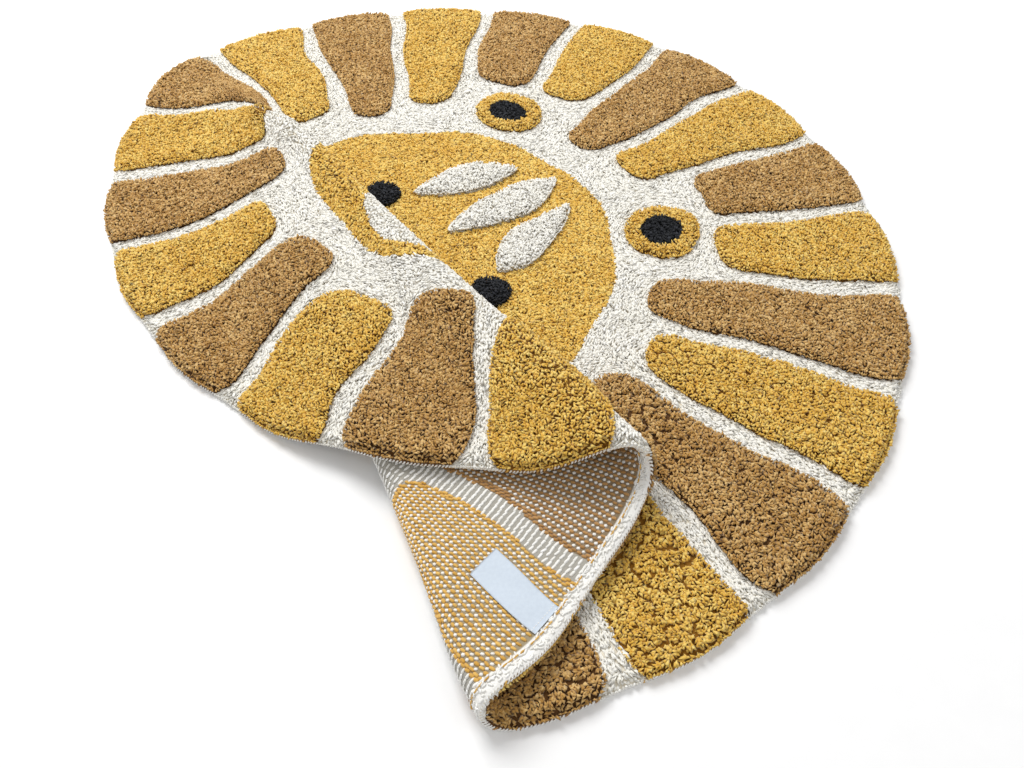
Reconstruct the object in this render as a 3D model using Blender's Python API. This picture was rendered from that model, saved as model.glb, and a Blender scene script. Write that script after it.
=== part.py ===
"""A round tufted cotton rug for a child's room, lying in a pleat of three layers, with its care label.

The rug is drawn flat first: a disc with a scalloped rim, rays around it and a lion's face in the middle, all
raised above a lower ground of cut pile. The flat drawing is then carried through the pleat. The right-hand
part lies on the floor. At the valley the cloth turns up and back to the right, so its backing shows. At the
ridge it turns back to the left and comes down to the floor again as the flap.

The pleat is laid out around a pivot near the rim, where it runs out to nothing. A point of the cloth keeps
its distance from the pivot, its reach. At each reach the backing follows one section: from the toe, where it
leaves the floor, through the valley, the middle layer, the ridge and the flap, to the landing. Near the pivot
the section is smoothed into a soft hump.
"""

import math
from functools import partial

import bpy
import numpy as np
from mathutils import Vector
from mathutils.bvhtree import BVHTree
from mathutils.geometry import delaunay_2d_cdt

# Sizes are metres and angles are degrees. Flat places are seen from above, with the rug's centre at (0, 0).
OBJECT = "lion_shaped_kids_rug"
FOOTPRINT_CENTRE = (0.0844, 0.0052)  # middle of the folded rug's footprint, in the flat drawing's frame

# The cloth.
RUG_RADIUS = 0.600
SCALLOP = 0.005  # depth of the rim's dips between rays
GROUND = 0.0105  # backing and low pile together
RELIEF = 0.0070  # how far the rays and the face's motifs stand above the ground
FLANK = 0.008  # width of a raised shape's side, and of the rim's rounding
RIM_SHARE = 0.6  # the pile's height at the very rim, as a share of its full height
SHARP_ANGLE = 50.0

# The drawing.
RAYS = 24
RAY_GAP = 0.026
RAY_CORNER = 0.024
RAY_SETBACKS = (0.045, 0.070)  # plain ring between the face and the rays, which are long and short by turns
RAY_OVERRUN = 0.006  # how far past the rim a ray's rounded outer end would run
CROWN = 35.5  # direction of the top of the head
FACE_BACK = 0.045  # how far the face's middle lies from the rug's, towards the chin
FACE_LENGTH = 0.300  # half sizes of the face
FACE_WIDTH = 0.272
EAR_CLEARANCE = 0.024  # plain ground kept between an ear and the rays
NOSE_TAPER = 0.25  # how much narrower the nose is at its middle than at its top, as a share of its width

# One row for each raised motif: its kind, how far up the face from the rug's centre, how far across, half
# its length, half its width, and its turn.
MOTIFS = (
    ("ear", 0.275, -0.165, 0.046, 0.046, 0.0),
    ("ear", 0.275, 0.165, 0.046, 0.046, 0.0),
    ("lock", 0.145, 0.000, 0.088, 0.028, 0.0),
    ("lock", 0.135, -0.074, 0.076, 0.025, 18.0),
    ("lock", 0.135, 0.074, 0.076, 0.025, -18.0),
    ("eye", 0.030, -0.120, 0.024, 0.021, 0.0),
    ("eye", 0.030, 0.120, 0.024, 0.021, 0.0),
    ("nose", -0.120, 0.000, 0.024, 0.034, 0.0),
)

# The outlines inside the rim wander a little, as hand tufting does. One row for each wave: how fast it turns
# along x and along y, in radians a metre, its phase, and how far it shifts the drawing along x and along y.
WAVES = (
    (0.0, 41.0, 1.3, 0.0035, 0.0),
    (67.0, -23.0, 0.4, 0.0020, 0.0),
    (37.0, 0.0, 2.1, 0.0, 0.0035),
    (31.0, 59.0, 5.0, 0.0, 0.0020),
)

# The pleat. The flap is the flat rug turned by FLAP_TURN about the pivot.
PIVOT_RADIUS = 0.5385
PIVOT_ANGLE = 130.0
FLAP_TURN = 32.0
RISE_REACH = (0.000, 0.070)  # within these reaches the pleat rises from the floor, as a soft hump
SOFT_REACH = (0.100, 0.280)  # and within these it grows sharp, until its layers lie on each other
SOFTNESS = 0.050  # length of cloth over which the hump's bends are smoothed
SOFTEST = 0.40  # the most that this length may be, as a share of the reach
RUN_IN = 0.110  # flat cloth beside the pleat that the smoothing may take in, by the largest reaches
BACK_SPREAD = 70.0  # half the angle behind the pivot over which the flap's turn is spread

# One row for each section of the pleat. Tops are heights of the backing above the floor.
SECTION_COLUMNS = (
    "reach",  # distance from the pivot
    "valley_angle",  # direction of the valley from the pivot
    "valley_top",  # where the valley's turn ends
    "middle_top",  # the middle layer at its lowest
    "foot_top",  # where the middle layer turns up into the ridge
    "crest_top",  # where the flap leaves the ridge
    "flap_lift",  # gap between the flap and the middle layer at its lowest
    "landing",  # distance from the valley to where the flap meets the floor
)
SECTIONS = (
    (0.12, -52.5, 0.024, 0.024, 0.024, 0.044, 0.010, 0.080),
    (0.22, -57.6, 0.030, 0.028, 0.031, 0.056, 0.017, 0.100),
    (0.45, -64.2, 0.032, 0.029, 0.035, 0.060, 0.010, 0.110),
    (0.70, -66.05, 0.029, 0.026, 0.035, 0.064, 0.008, 0.110),
    (0.93, -66.35, 0.033, 0.026, 0.037, 0.076, 0.011, 0.110),
    (1.04, -66.75, 0.040, 0.027, 0.037, 0.079, 0.018, 0.120),
    (1.17, -66.4, 0.056, 0.032, 0.037, 0.079, 0.028, 0.120),
)
EDGE_LIFT = 0.004  # gap between the flap and the valley's turn
LEAST_OVERLAP = 0.51  # of the heights of the two turns together, so that they clear each other
PILE_CLEARANCE = 0.0028  # half the space kept between two faces of pile
FACING_REACH = (0.080, 0.160)  # nearer than the first no layers face each other
SQUEEZE_ROUNDS = 60
SQUEEZE_SPREAD = 6  # how many neighbours away a round of squeezing is felt
SQUEEZE_SHARE = 0.82  # what a round of squeezing leaves of the pile's height

# The care label, on the backing, its outer end near the rim.
LABEL_CENTRE = (-0.0364, -0.5405)
LABEL_HEADING = -95.4  # the way its outer end points
LABEL_LENGTH = 0.086
LABEL_WIDTH = 0.035
LABEL_THICKNESS = 0.0006
LABEL_GAP = 0.0012
LABEL_ROWS = 8
LABEL_COLUMNS = 4

# Tables of the pleat's sections.
REACHES = 240
SECTION_STEPS = 220
TURN_STEPS = 28
NORMAL_STEP = 0.003  # how far apart the backing is read to find which way the pile stands
TINY = 1e-6
HALVINGS = 24

# Mesh steps.
TURN_ROWS = 9  # points across each of the two turns
TURN_SPARE = 0.15  # how far these points run on past the turn, as a share of its length
TURN_STEP = 0.0085
PLEAT_STEP = 0.031
RIM_STEP = 0.018
FLAT_STEP = 0.080
SHRINK_REACH = 0.420  # nearer the pivot than this the steps in the pleat shrink too
LEAST_SHRINK = 0.20
FILL_GAP = 0.045  # the widest gap that is kept between the filling points and the drawn lines
ROW_SHARE = math.sqrt(0.75)  # distance between staggered rows, as a share of the step
CONTOUR_POINTS = 360
CONTOUR_STEP = 0.003
LEAST_POINTS = 8  # around a contour
INSIDE_EDGES = 1  # the triangulation's choice to keep only what the outer edges enclose


def direction(degrees):
    return np.array([math.cos(math.radians(degrees)), math.sin(math.radians(degrees))])


def smooth(x):
    x = np.clip(x, 0.0, 1.0)
    return x * x * (3.0 - 2.0 * x)


def grown(value, limits):
    """Grows smoothly from 0 at the first limit to 1 at the second."""
    return smooth((value - limits[0]) / (limits[1] - limits[0]))


def smooth_through(xs, ys, x):
    """A curve through the points that never overshoots them, read at x."""
    xs, ys = np.asarray(xs, float), np.asarray(ys, float)
    run = np.diff(xs)
    slope = np.diff(ys) / run
    before, after = slope[:-1], slope[1:]
    same_way = before * after > 0.0
    tangent = np.zeros(len(xs))
    tangent[1:-1][same_way] = (2.0 * before * after)[same_way] / (before + after)[same_way]
    i = np.clip(np.searchsorted(xs, x) - 1, 0, len(run) - 1)
    t = np.clip((x - xs[i]) / run[i], 0.0, 1.0)
    level = ys[i] + (ys[i + 1] - ys[i]) * smooth(t)
    swing = t * (1.0 - t) * run[i]
    return level + swing * ((1.0 - t) * tangent[i] - t * tangent[i + 1])


# ---------------------------------------------------------------------------------------------------------
# The pleat
# ---------------------------------------------------------------------------------------------------------

PIVOT = PIVOT_RADIUS * direction(PIVOT_ANGLE)
BEHIND = math.radians(PIVOT_ANGLE)
TURN = math.radians(FLAP_TURN)
FULL_TURN = 2.0 * math.pi


def section_sizes(reach):
    """The named sizes of the section at this reach. Nearer than the first row they shrink with the reach."""
    columns = np.array(SECTIONS).T
    first = columns[0, 0]
    at = np.array([max(reach, first)])
    sizes = {}
    for name, column in zip(SECTION_COLUMNS[1:], columns[1:]):
        sizes[name] = float(smooth_through(columns[0], column, at)[0]) * min(1.0, reach / first)
    sizes["valley_angle"] = math.radians(sizes["valley_angle"] / min(1.0, reach / first))
    return sizes


def run_in(reach):
    """Length of the flat cloth that a section takes in at each of its ends."""
    return min(reach, RUN_IN)


def shrink(reach):
    """Share of the pleat's mesh steps to use at a reach."""
    return np.clip(reach / SHRINK_REACH, LEAST_SHRINK, 1.0)


def half_turn(side, low, high, way):
    """The backing's half circle from height low to height high, bulging from side to the right or left."""
    around = np.linspace(-0.5 * math.pi, 0.5 * math.pi, TURN_STEPS)
    radius = 0.5 * (high - low)
    return np.stack([side + way * radius * np.cos(around), low + radius + radius * np.sin(around)], axis=1)


def section_path(sizes, reach, overlap):
    """The backing in one section, as places along the arc and heights, from the toe to the landing."""
    valley = reach * sizes["valley_angle"]
    toe = valley + 0.5 * sizes["valley_top"]
    foot = valley + overlap - 0.5 * (sizes["crest_top"] - sizes["foot_top"])
    middle = 0.5 * (toe + foot)
    landing = valley - sizes["landing"]
    tops = (sizes["valley_top"], sizes["middle_top"], sizes["foot_top"])
    inward = np.linspace(toe, foot, TURN_STEPS)[1:-1]
    middle_layer = smooth_through((toe, middle, foot), tops, inward)
    over_edge = sizes["valley_top"] + EDGE_LIFT
    over_middle = max(sizes["middle_top"] + sizes["flap_lift"], over_edge)
    outward = np.linspace(foot, landing, 3 * TURN_STEPS)[1:]
    tops = (0.0, over_edge, over_middle, sizes["crest_top"])
    flap = smooth_through((landing, toe, middle, foot), tops, outward)
    return np.concatenate(
        [
            half_turn(toe, 0.0, sizes["valley_top"], way=-1.0),
            np.stack([inward, middle_layer], axis=1),
            half_turn(foot, sizes["foot_top"], sizes["crest_top"], way=1.0),
            np.stack([outward, flap], axis=1),
        ]
    )


# Where each turn starts and ends among a path's points.
TURN_ENDS = (0, TURN_STEPS - 1, 2 * TURN_STEPS - 2, 3 * TURN_STEPS - 3)


def lengths_along(path):
    return np.concatenate([[0.0], np.cumsum(np.hypot(*np.diff(path, axis=0).T))])


def fitted_path(sizes, reach):
    """The section whose overlap takes up just what the flap's turn takes up, found by halving."""
    low = LEAST_OVERLAP * (sizes["valley_top"] + sizes["crest_top"] - sizes["foot_top"])
    high = low + 0.5 * reach
    for _ in range(HALVINGS):
        overlap = 0.5 * (low + high)
        path = section_path(sizes, reach, overlap)
        taken_up = lengths_along(path)[-1] - (path[0, 0] - path[-1, 0])
        if taken_up > TURN * reach:
            high = overlap
        else:
            low = overlap
    return path


def softened(path, spacing, reach):
    """An evenly spaced path with its bends smoothed by the softness at this reach."""
    spread = min(SOFTEST * reach, SOFTNESS * (1.0 - grown(reach, SOFT_REACH)))
    if spread < spacing:
        return path
    margin = int(4.0 * spread / spacing)
    away = spacing * np.arange(1, margin + 1)
    before = np.stack([path[0, 0] + away[::-1], np.zeros(margin)], axis=1)
    after = np.stack([path[-1, 0] - away, np.zeros(margin)], axis=1)
    weights = np.exp(-0.5 * (spacing * np.arange(-margin, margin + 1) / spread) ** 2)
    padded = np.concatenate([before, path, after])
    return np.stack([np.convolve(column, weights / weights.sum(), "valid") for column in padded.T], axis=1)


class Pleat:
    """Carries points of the flat rug to their places in the pleat, by tables read between their entries.

    A section runs from its start, on the floor before the toe, to its end, on the floor past the landing.
    """

    def __init__(self):
        self.reaches = np.linspace(0.0, 2.0 * RUG_RADIUS, REACHES + 1)
        self.reaches[0] = 0.1 * self.reaches[1]
        shape = (len(self.reaches), SECTION_STEPS)
        self.sideways = np.zeros(shape)
        self.heights = np.zeros(shape)
        self.room_inside = np.zeros(shape)
        self.room_below = np.zeros(shape)
        self.start = np.zeros(shape[0])
        self.toe = np.zeros(shape[0])
        self.length = np.zeros(shape[0])
        self.overhang = np.zeros(shape[0])
        self.turn_ends = np.zeros((len(TURN_ENDS), shape[0]))
        for row, reach in enumerate(self.reaches):
            sizes = section_sizes(reach)
            path = fitted_path(sizes, reach)
            self.add_path(row, path, reach)
            self.add_room(row, path, reach, sizes["valley_top"])

    def add_path(self, row, path, reach):
        """Fills a row of the tables of places."""
        side = np.array([[run_in(reach), 0.0]])
        whole = np.concatenate([path[:1] + side, path, path[-1:] - side])
        along = lengths_along(whole)
        even = np.linspace(0.0, along[-1], SECTION_STEPS)
        evenly = np.stack([np.interp(even, along, column) for column in whole.T], axis=1)
        level = np.linspace(whole[0], whole[-1], SECTION_STEPS)
        soft = softened(evenly, even[1], reach)
        self.sideways[row], self.heights[row] = (level + (soft - level) * grown(reach, RISE_REACH)).T
        self.start[row] = whole[0, 0]
        self.toe[row] = path[0, 0]
        self.length[row] = along[-1]
        self.turn_ends[:, row] = along[1:-1][list(TURN_ENDS)]

    def add_room(self, row, path, reach, valley_top):
        """Fills a row of the tables of half the gaps between facing layers, in the pleat and under it."""
        ridge = int(np.argmax(path[:, 0]))
        along = lengths_along(path) + run_in(reach)
        past_ridge = np.maximum(along - along[ridge], 0.0)
        gap = np.where(past_ridge > 0.0, path[ridge, 1] + 2.0 * past_ridge, path[:, 1])
        gap[:TURN_STEPS] = valley_top
        self.room_inside[row] = 0.5 * np.interp(np.linspace(0.0, self.length[row], SECTION_STEPS), along, gap)
        self.overhang[row] = path[ridge, 0] - path[0, 0]
        covered = slice(TURN_STEPS - 1, ridge + 1)
        under = path[0, 0] + np.linspace(0.0, self.overhang[row], SECTION_STEPS)
        self.room_below[row] = 0.5 * np.interp(under, path[covered, 0], path[covered, 1])

    def by_reach(self, values, reach):
        return np.interp(reach, self.reaches, values)

    def by_share(self, table, reach, share):
        """A table of the sections, read at a reach and a share of the section's length."""
        row = np.interp(reach, self.reaches, np.arange(REACHES + 1))
        column = np.clip(share, 0.0, 1.0) * (SECTION_STEPS - 1)
        i = np.minimum(row.astype(int), REACHES - 1)
        j = np.minimum(column.astype(int), SECTION_STEPS - 2)
        u, v = row - i, column - j
        near = table[i, j] * (1.0 - v) + table[i, j + 1] * v
        far = table[i + 1, j] * (1.0 - v) + table[i + 1, j + 1] * v
        return near * (1.0 - u) + far * u

    def polar(self, flat):
        """Reach and angle about the pivot, and how far past its section's start a point lies.

        The angle runs down from behind the pivot, all the way round.
        """
        offset = flat - PIVOT
        reach = np.maximum(np.hypot(offset[:, 0], offset[:, 1]), TINY)
        angle = BEHIND - np.mod(BEHIND - np.arctan2(offset[:, 1], offset[:, 0]), FULL_TURN)
        return reach, angle, self.by_reach(self.start, reach) - reach * angle

    def backing(self, flat):
        """Places of the backing for flat points."""
        reach, angle, along = self.polar(flat)
        share = along / self.by_reach(self.length, reach)
        around = self.by_share(self.sideways, reach, share) / reach
        around = np.where(share <= 0.0, angle, around)
        around = np.where(share >= 1.0, angle + TURN, around)
        height = np.where((share > 0.0) & (share < 1.0), self.by_share(self.heights, reach, share), 0.0)
        from_behind = np.minimum(BEHIND - angle, angle + FULL_TURN - BEHIND) / math.radians(BACK_SPREAD)
        half_turned = 0.5 * TURN * (1.0 - smooth(from_behind))
        around += np.where(share > 0.5, -half_turned, half_turned)
        place = PIVOT + reach[:, None] * np.stack([np.cos(around), np.sin(around)], axis=1)
        return np.column_stack([place - FOOTPRINT_CENTRE, height])

    def pile_directions(self, flat):
        along_x = self.backing(flat + (NORMAL_STEP, 0.0)) - self.backing(flat - (NORMAL_STEP, 0.0))
        along_y = self.backing(flat + (0.0, NORMAL_STEP)) - self.backing(flat - (0.0, NORMAL_STEP))
        normal = np.cross(along_x, along_y)
        return normal / np.linalg.norm(normal, axis=1)[:, None]

    def headroom(self, flat):
        """The most that the pile may stand above the backing without meeting the pile that faces it."""
        reach, angle, along = self.polar(flat)
        inside = self.by_share(self.room_inside, reach, along / self.by_reach(self.length, reach))
        overhang = self.by_reach(self.overhang, reach)
        before_toe = reach * angle - self.by_reach(self.toe, reach)
        below = self.by_share(self.room_below, reach, before_toe / overhang)
        below += np.maximum(before_toe - overhang, 0.0)
        room = np.where(before_toe <= 0.0, inside, below)
        return room + 1.0 - grown(reach, FACING_REACH) - PILE_CLEARANCE

    def place(self, flat, height):
        """Places of points that stand a height above the backing, on the pile's side."""
        return self.backing(flat) + self.pile_directions(flat) * np.reshape(height, (-1, 1))

    def step(self, flat):
        """How far apart points of the mesh may lie: least in the two turns."""
        reach, _, along = self.polar(flat)
        length = self.by_reach(self.length, reach)
        step = np.where((along > 0.0) & (along < length), PLEAT_STEP, FLAT_STEP)
        ends = [self.by_reach(values, reach) for values in self.turn_ends]
        for first, last in (ends[:2], ends[2:]):
            turning = (along > first - 0.5 * TURN_STEP) & (along < last + 0.5 * TURN_STEP)
            step = np.where(turning, TURN_STEP, step)
        return step * np.where(step < FLAT_STEP, shrink(reach), 1.0)


# ---------------------------------------------------------------------------------------------------------
# The flat drawing. Each depth is how far inside a shape's outline a flat point lies.
# ---------------------------------------------------------------------------------------------------------


def rim_radius(angle):
    """The scalloped rim: full at the middle of each ray, dipping between rays."""
    beside = np.cos(0.5 * RAYS * (angle - math.radians(CROWN)))
    return RUG_RADIUS - SCALLOP * beside**2


def rim_depth(flat):
    return rim_radius(np.arctan2(flat[:, 1], flat[:, 0])) - np.hypot(flat[:, 0], flat[:, 1])


def wandering(flat):
    """The places in the even drawing of what lies at flat points."""
    even = np.array(flat, float)
    for along_x, along_y, phase, shift_x, shift_y in WAVES:
        wave = np.sin(along_x * flat[:, 0] + along_y * flat[:, 1] + phase)
        even += wave[:, None] * (shift_x, shift_y)
    return even


def on_face(flat):
    """Flat points given by how far they lie up the face and across it."""
    return flat @ direction(CROWN), flat @ direction(CROWN - 90.0)


def face_place(up, across):
    return up * direction(CROWN) + across * direction(CROWN - 90.0)


def rounded_both(first, second, corner):
    """Depth inside both of two shapes, with the corner between their outlines rounded."""
    rounded = corner - np.hypot(np.maximum(corner - first, 0.0), np.maximum(corner - second, 0.0))
    return np.where((first > corner) & (second > corner), np.minimum(first, second), rounded)


def face_radius(angle):
    """Distance of the face's outline, an ellipse, from the rug's centre, in a direction."""
    c, s = np.cos(angle - math.radians(CROWN)), np.sin(angle - math.radians(CROWN))
    square = (c / FACE_LENGTH) ** 2 + (s / FACE_WIDTH) ** 2
    linear = c * FACE_BACK / FACE_LENGTH**2
    rest = (FACE_BACK / FACE_LENGTH) ** 2 - 1.0
    return (-linear + np.sqrt(linear**2 - square * rest)) / square


def ray_middle(number):
    return math.radians(CROWN) + FULL_TURN * (number + 0.5) / RAYS


def ray_start(number):
    """Distance of a ray's inner end from the rug's centre. The ears cut some rays short."""
    middle = ray_middle(number)
    along = np.array([math.cos(middle), math.sin(middle)])
    start = float(face_radius(middle)) + RAY_SETBACKS[number % 2]
    half_width = 0.5 * start * FULL_TURN / RAYS
    for kind, up, across, radius, _, _ in MOTIFS:
        ear = face_place(up, across)
        aside = max(0.0, abs(along[0] * ear[1] - along[1] * ear[0]) - half_width)
        clear = radius + EAR_CLEARANCE
        if kind == "ear" and aside < clear:
            start = max(start, along @ ear + math.sqrt(clear**2 - aside**2))
    return start


RAY_STARTS = np.array([ray_start(number) for number in range(RAYS)])


def ray_depth(flat):
    even = wandering(flat)
    radius = np.hypot(even[:, 0], even[:, 1])
    turns = (np.arctan2(even[:, 1], even[:, 0]) - math.radians(CROWN)) * RAYS / FULL_TURN
    number = np.floor(turns)
    from_side = (0.5 - np.abs(turns - number - 0.5)) * FULL_TURN / RAYS
    side = radius * np.sin(from_side) - 0.5 * RAY_GAP
    inner_end = radius - RAY_STARTS[number.astype(int) % RAYS]
    return rounded_both(side, np.minimum(inner_end, rim_depth(flat) + RAY_OVERRUN), RAY_CORNER)


def motif_depth(flat, motif):
    kind, up, across, length, width, turn = motif
    scale = min(length, width)
    place_up, place_across = on_face(wandering(flat))
    c, s = math.cos(math.radians(turn)), math.sin(math.radians(turn))
    along = (place_up - up) * c + (place_across - across) * s
    aside = (place_across - across) * c - (place_up - up) * s
    if kind == "lock":
        bow = (length**2 + width**2) / (2.0 * width)
        return bow - np.hypot(along, np.abs(aside) + bow - width)
    if kind == "nose":
        width = width * (1.0 + NOSE_TAPER * (along / length - 1.0))
    return (1.0 - np.hypot(along / length, aside / width)) * scale


def raised_depth(flat):
    return np.max([ray_depth(flat)] + [motif_depth(flat, motif) for motif in MOTIFS], axis=0)


def pile_height(flat):
    """Height of the pile's top above the back of the cloth, where nothing presses on it."""
    height = GROUND + RELIEF * smooth(raised_depth(flat) / FLANK)
    return height * (RIM_SHARE + (1.0 - RIM_SHARE) * smooth(rim_depth(flat) / FLANK))


# ---------------------------------------------------------------------------------------------------------
# Meshes
# ---------------------------------------------------------------------------------------------------------


def spaced(line, pleat):
    """Points along a closed line, as far apart as the mesh step asks there."""
    line = np.vstack([line, line[:1]])
    steps = np.hypot(*np.diff(line, axis=0).T) / np.minimum(pleat.step(line[:-1]), PLEAT_STEP)
    count = max(LEAST_POINTS, int(round(steps.sum())))
    at = np.concatenate([[0.0], np.cumsum(steps)])
    even = np.linspace(0.0, at[-1], count, endpoint=False)
    return np.column_stack([np.interp(even, at, line[:, 0]), np.interp(even, at, line[:, 1])])


def beyond(depth, points, level):
    """Whether points lie outside a shape's line at this level, or on the rim's rounding."""
    return (depth(points) <= level) | (rim_depth(points) <= FLANK)


def contour(depth, centre, level):
    """A closed line around a shape, seen from its centre, where the depth falls to the level."""
    turns = np.linspace(0.0, FULL_TURN, CONTOUR_POINTS, endpoint=False)
    ways = np.stack([np.cos(turns), np.sin(turns)], axis=1)
    far = np.full(len(turns), RUG_RADIUS)
    for distance in np.arange(0.0, RUG_RADIUS, CONTOUR_STEP)[::-1]:
        far = np.where(beyond(depth, centre + ways * distance, level), distance, far)
    near = far - CONTOUR_STEP
    for _ in range(HALVINGS):
        middle = 0.5 * (near + far)
        outside = beyond(depth, centre + ways * middle[:, None], level)
        near = np.where(outside, near, middle)
        far = np.where(outside, middle, far)
    return centre + ways * near[:, None]


def raised_contours(pleat):
    """The foot and the top edge of every raised shape."""
    shapes = []
    for number in range(RAYS):
        middle = math.degrees(ray_middle(number))
        shapes.append((ray_depth, 0.5 * (RAY_STARTS[number] + RUG_RADIUS) * direction(middle)))
    for motif in MOTIFS:
        shapes.append((partial(motif_depth, motif=motif), face_place(motif[1], motif[2])))
    lines = [contour(depth, centre, level) for depth, centre in shapes for level in (0.0, FLANK)]
    return [spaced(line, pleat) for line in lines]


def rim_line(inset):
    """Even points along the rim, or inside it."""
    angles = np.linspace(0.0, FULL_TURN, int(FULL_TURN * RUG_RADIUS / RIM_STEP), endpoint=False)
    radius = rim_radius(angles) - inset
    return np.stack([radius * np.cos(angles), radius * np.sin(angles)], axis=1)


def staggered(step):
    """Points over the whole disc in staggered rows."""
    rows = np.arange(-RUG_RADIUS, RUG_RADIUS, ROW_SHARE * step)
    points = []
    for number, y in enumerate(rows):
        xs = np.arange(-RUG_RADIUS + 0.5 * step * (number % 2), RUG_RADIUS, step)
        points.extend((x, y) for x in xs)
    return np.array(points)


def along_turns(pleat):
    """Rows of points along the valley and the ridge, close together across each turn."""
    points = []
    reach = LEAST_SHRINK * PLEAT_STEP
    while reach < 2.0 * RUG_RADIUS:
        start = pleat.by_reach(pleat.start, reach)
        ends = [pleat.by_reach(values, reach) for values in pleat.turn_ends]
        for first, last in (ends[:2], ends[2:]):
            spare = TURN_SPARE * (last - first)
            angles = (start - np.linspace(first - spare, last + spare, TURN_ROWS)) / reach
            points.extend(PIVOT + reach * np.stack([np.cos(angles), np.sin(angles)], axis=1))
        reach += PLEAT_STEP * shrink(reach)
    return np.array(points)


def apart(points, others, pleat, share):
    """The points that lie well apart from the others."""
    kept = []
    for point, step in zip(points, pleat.step(points)):
        gap = np.hypot(others[:, 0] - point[0], others[:, 1] - point[1])
        if gap.min() > share * min(step, FILL_GAP):
            kept.append(point)
    return np.array(kept)


def closed_edges(count, first=0):
    """Edges around a closed line of points."""
    return [(first + i, first + (i + 1) % count) for i in range(count)]


def flat_mesh(pleat):
    """The flat drawing as triangles, with edges along the rim and around every raised shape."""
    rim = rim_line(0.0)
    points = [*rim, *rim_line(FLANK)]
    edges = closed_edges(len(rim)) + closed_edges(len(rim), first=len(rim))
    for line in raised_contours(pleat):
        keep = rim_depth(line) > FLANK + 0.25 * TURN_STEP
        number = np.cumsum(keep) - 1 + len(points)
        for here, after in closed_edges(len(line)):
            if keep[here] and keep[after]:
                edges.append((int(number[here]), int(number[after])))
        points += list(line[keep])
    # Each filling: its points, the mesh steps that it is for, and the least gap as a share of the step.
    fillings = (
        (along_turns(pleat), 0.0, PLEAT_STEP, 0.35),
        (staggered(0.5 * PLEAT_STEP), TURN_STEP, 0.5 * PLEAT_STEP, 0.6),
        (staggered(PLEAT_STEP), TURN_STEP, PLEAT_STEP, 0.6),
        (staggered(FLAT_STEP), TURN_STEP, FLAT_STEP, 0.6),
    )
    for filling, narrowest, widest, share in fillings:
        step = pleat.step(filling)
        inside = rim_depth(filling) > 2.0 * FLANK
        filling = filling[inside & (step > narrowest) & (step <= widest)]
        points += list(apart(filling, np.array(points), pleat, share))
    vectors = [Vector(point) for point in points]
    vertices, _, triangles, _, _, _ = delaunay_2d_cdt(vectors, edges, [], INSIDE_EDGES, TINY)
    return np.array([tuple(vertex) for vertex in vertices]), np.array(triangles)


def outline_edges(triangles):
    """The edges that belong to one triangle only, in that triangle's direction."""
    edges = np.concatenate([triangles[:, [0, 1]], triangles[:, [1, 2]], triangles[:, [2, 0]]])
    known = {(a, b) for a, b in edges.tolist()}
    return sorted((a, b) for a, b in known if (b, a) not in known)


def cloth_shape(pleat, flat, triangles, low, high):
    """Places and faces of the closed solid between two heights above the backing."""
    count = len(flat)
    places = np.vstack([pleat.place(flat, low), pleat.place(flat, high)])
    faces = (triangles + count).tolist() + triangles[:, ::-1].tolist()
    for a, b in outline_edges(triangles):
        faces += [[a, b, b + count], [a, b + count, a + count]]
    return places.tolist(), faces


def spread(values, triangles):
    """Each point's value brought halfway to the mean of its neighbours' where that is lower."""
    edges = np.concatenate([triangles[:, [0, 1]], triangles[:, [1, 2]], triangles[:, [2, 0]]])
    a, b = edges.T
    total = np.bincount(a, values[b], len(values)) + np.bincount(b, values[a], len(values))
    count = np.bincount(edges.ravel(), minlength=len(values))
    return np.minimum(values, 0.5 * (values + total / np.maximum(count, 1)))


def squeezed(pleat, flat, triangles, pile):
    """The pile's height, pressed down round by round wherever the cloth would pass through itself."""
    backing = np.zeros(len(flat))
    for _ in range(SQUEEZE_ROUNDS):
        places, faces = cloth_shape(pleat, flat, triangles, backing, pile)
        tree = BVHTree.FromPolygons(places, faces)
        touching = set()
        for first, second in tree.overlap(tree):
            if not set(faces[first]) & set(faces[second]):
                touching.update(faces[first] + faces[second])
        if not touching:
            break
        share = np.ones(len(flat))
        share[np.array(sorted(touching)) % len(flat)] = SQUEEZE_SHARE
        for _ in range(SQUEEZE_SPREAD):
            share = spread(share, triangles)
        pile = pile * share
    return pile


def cloth_object(name, shape, material):
    places, faces = shape
    mesh = bpy.data.meshes.new(name)
    mesh.from_pydata(places, [], faces)
    mesh.validate()
    mesh.materials.append(material)
    mesh.shade_smooth()
    mesh.set_sharp_from_angle(angle=math.radians(SHARP_ANGLE))
    cloth = bpy.data.objects.new(name, mesh)
    bpy.data.collections[OBJECT].objects.link(cloth)


def make_material(name, colour, roughness):
    material = bpy.data.materials.new(name)
    material.use_nodes = True
    shader = material.node_tree.nodes["Principled BSDF"]
    shader.inputs["Base Color"].default_value = (*colour, 1.0)
    shader.inputs["Roughness"].default_value = roughness
    shader.inputs["Metallic"].default_value = 0.0
    return material


def make_rug(pleat):
    flat, triangles = flat_mesh(pleat)
    pile = np.minimum(pile_height(flat), pleat.headroom(flat))
    pile = squeezed(pleat, flat, triangles, pile)
    cotton = make_material("cotton_pile", (0.72, 0.50, 0.22), 0.95)
    cloth_object("rug", cloth_shape(pleat, flat, triangles, np.zeros(len(flat)), pile), cotton)


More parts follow.
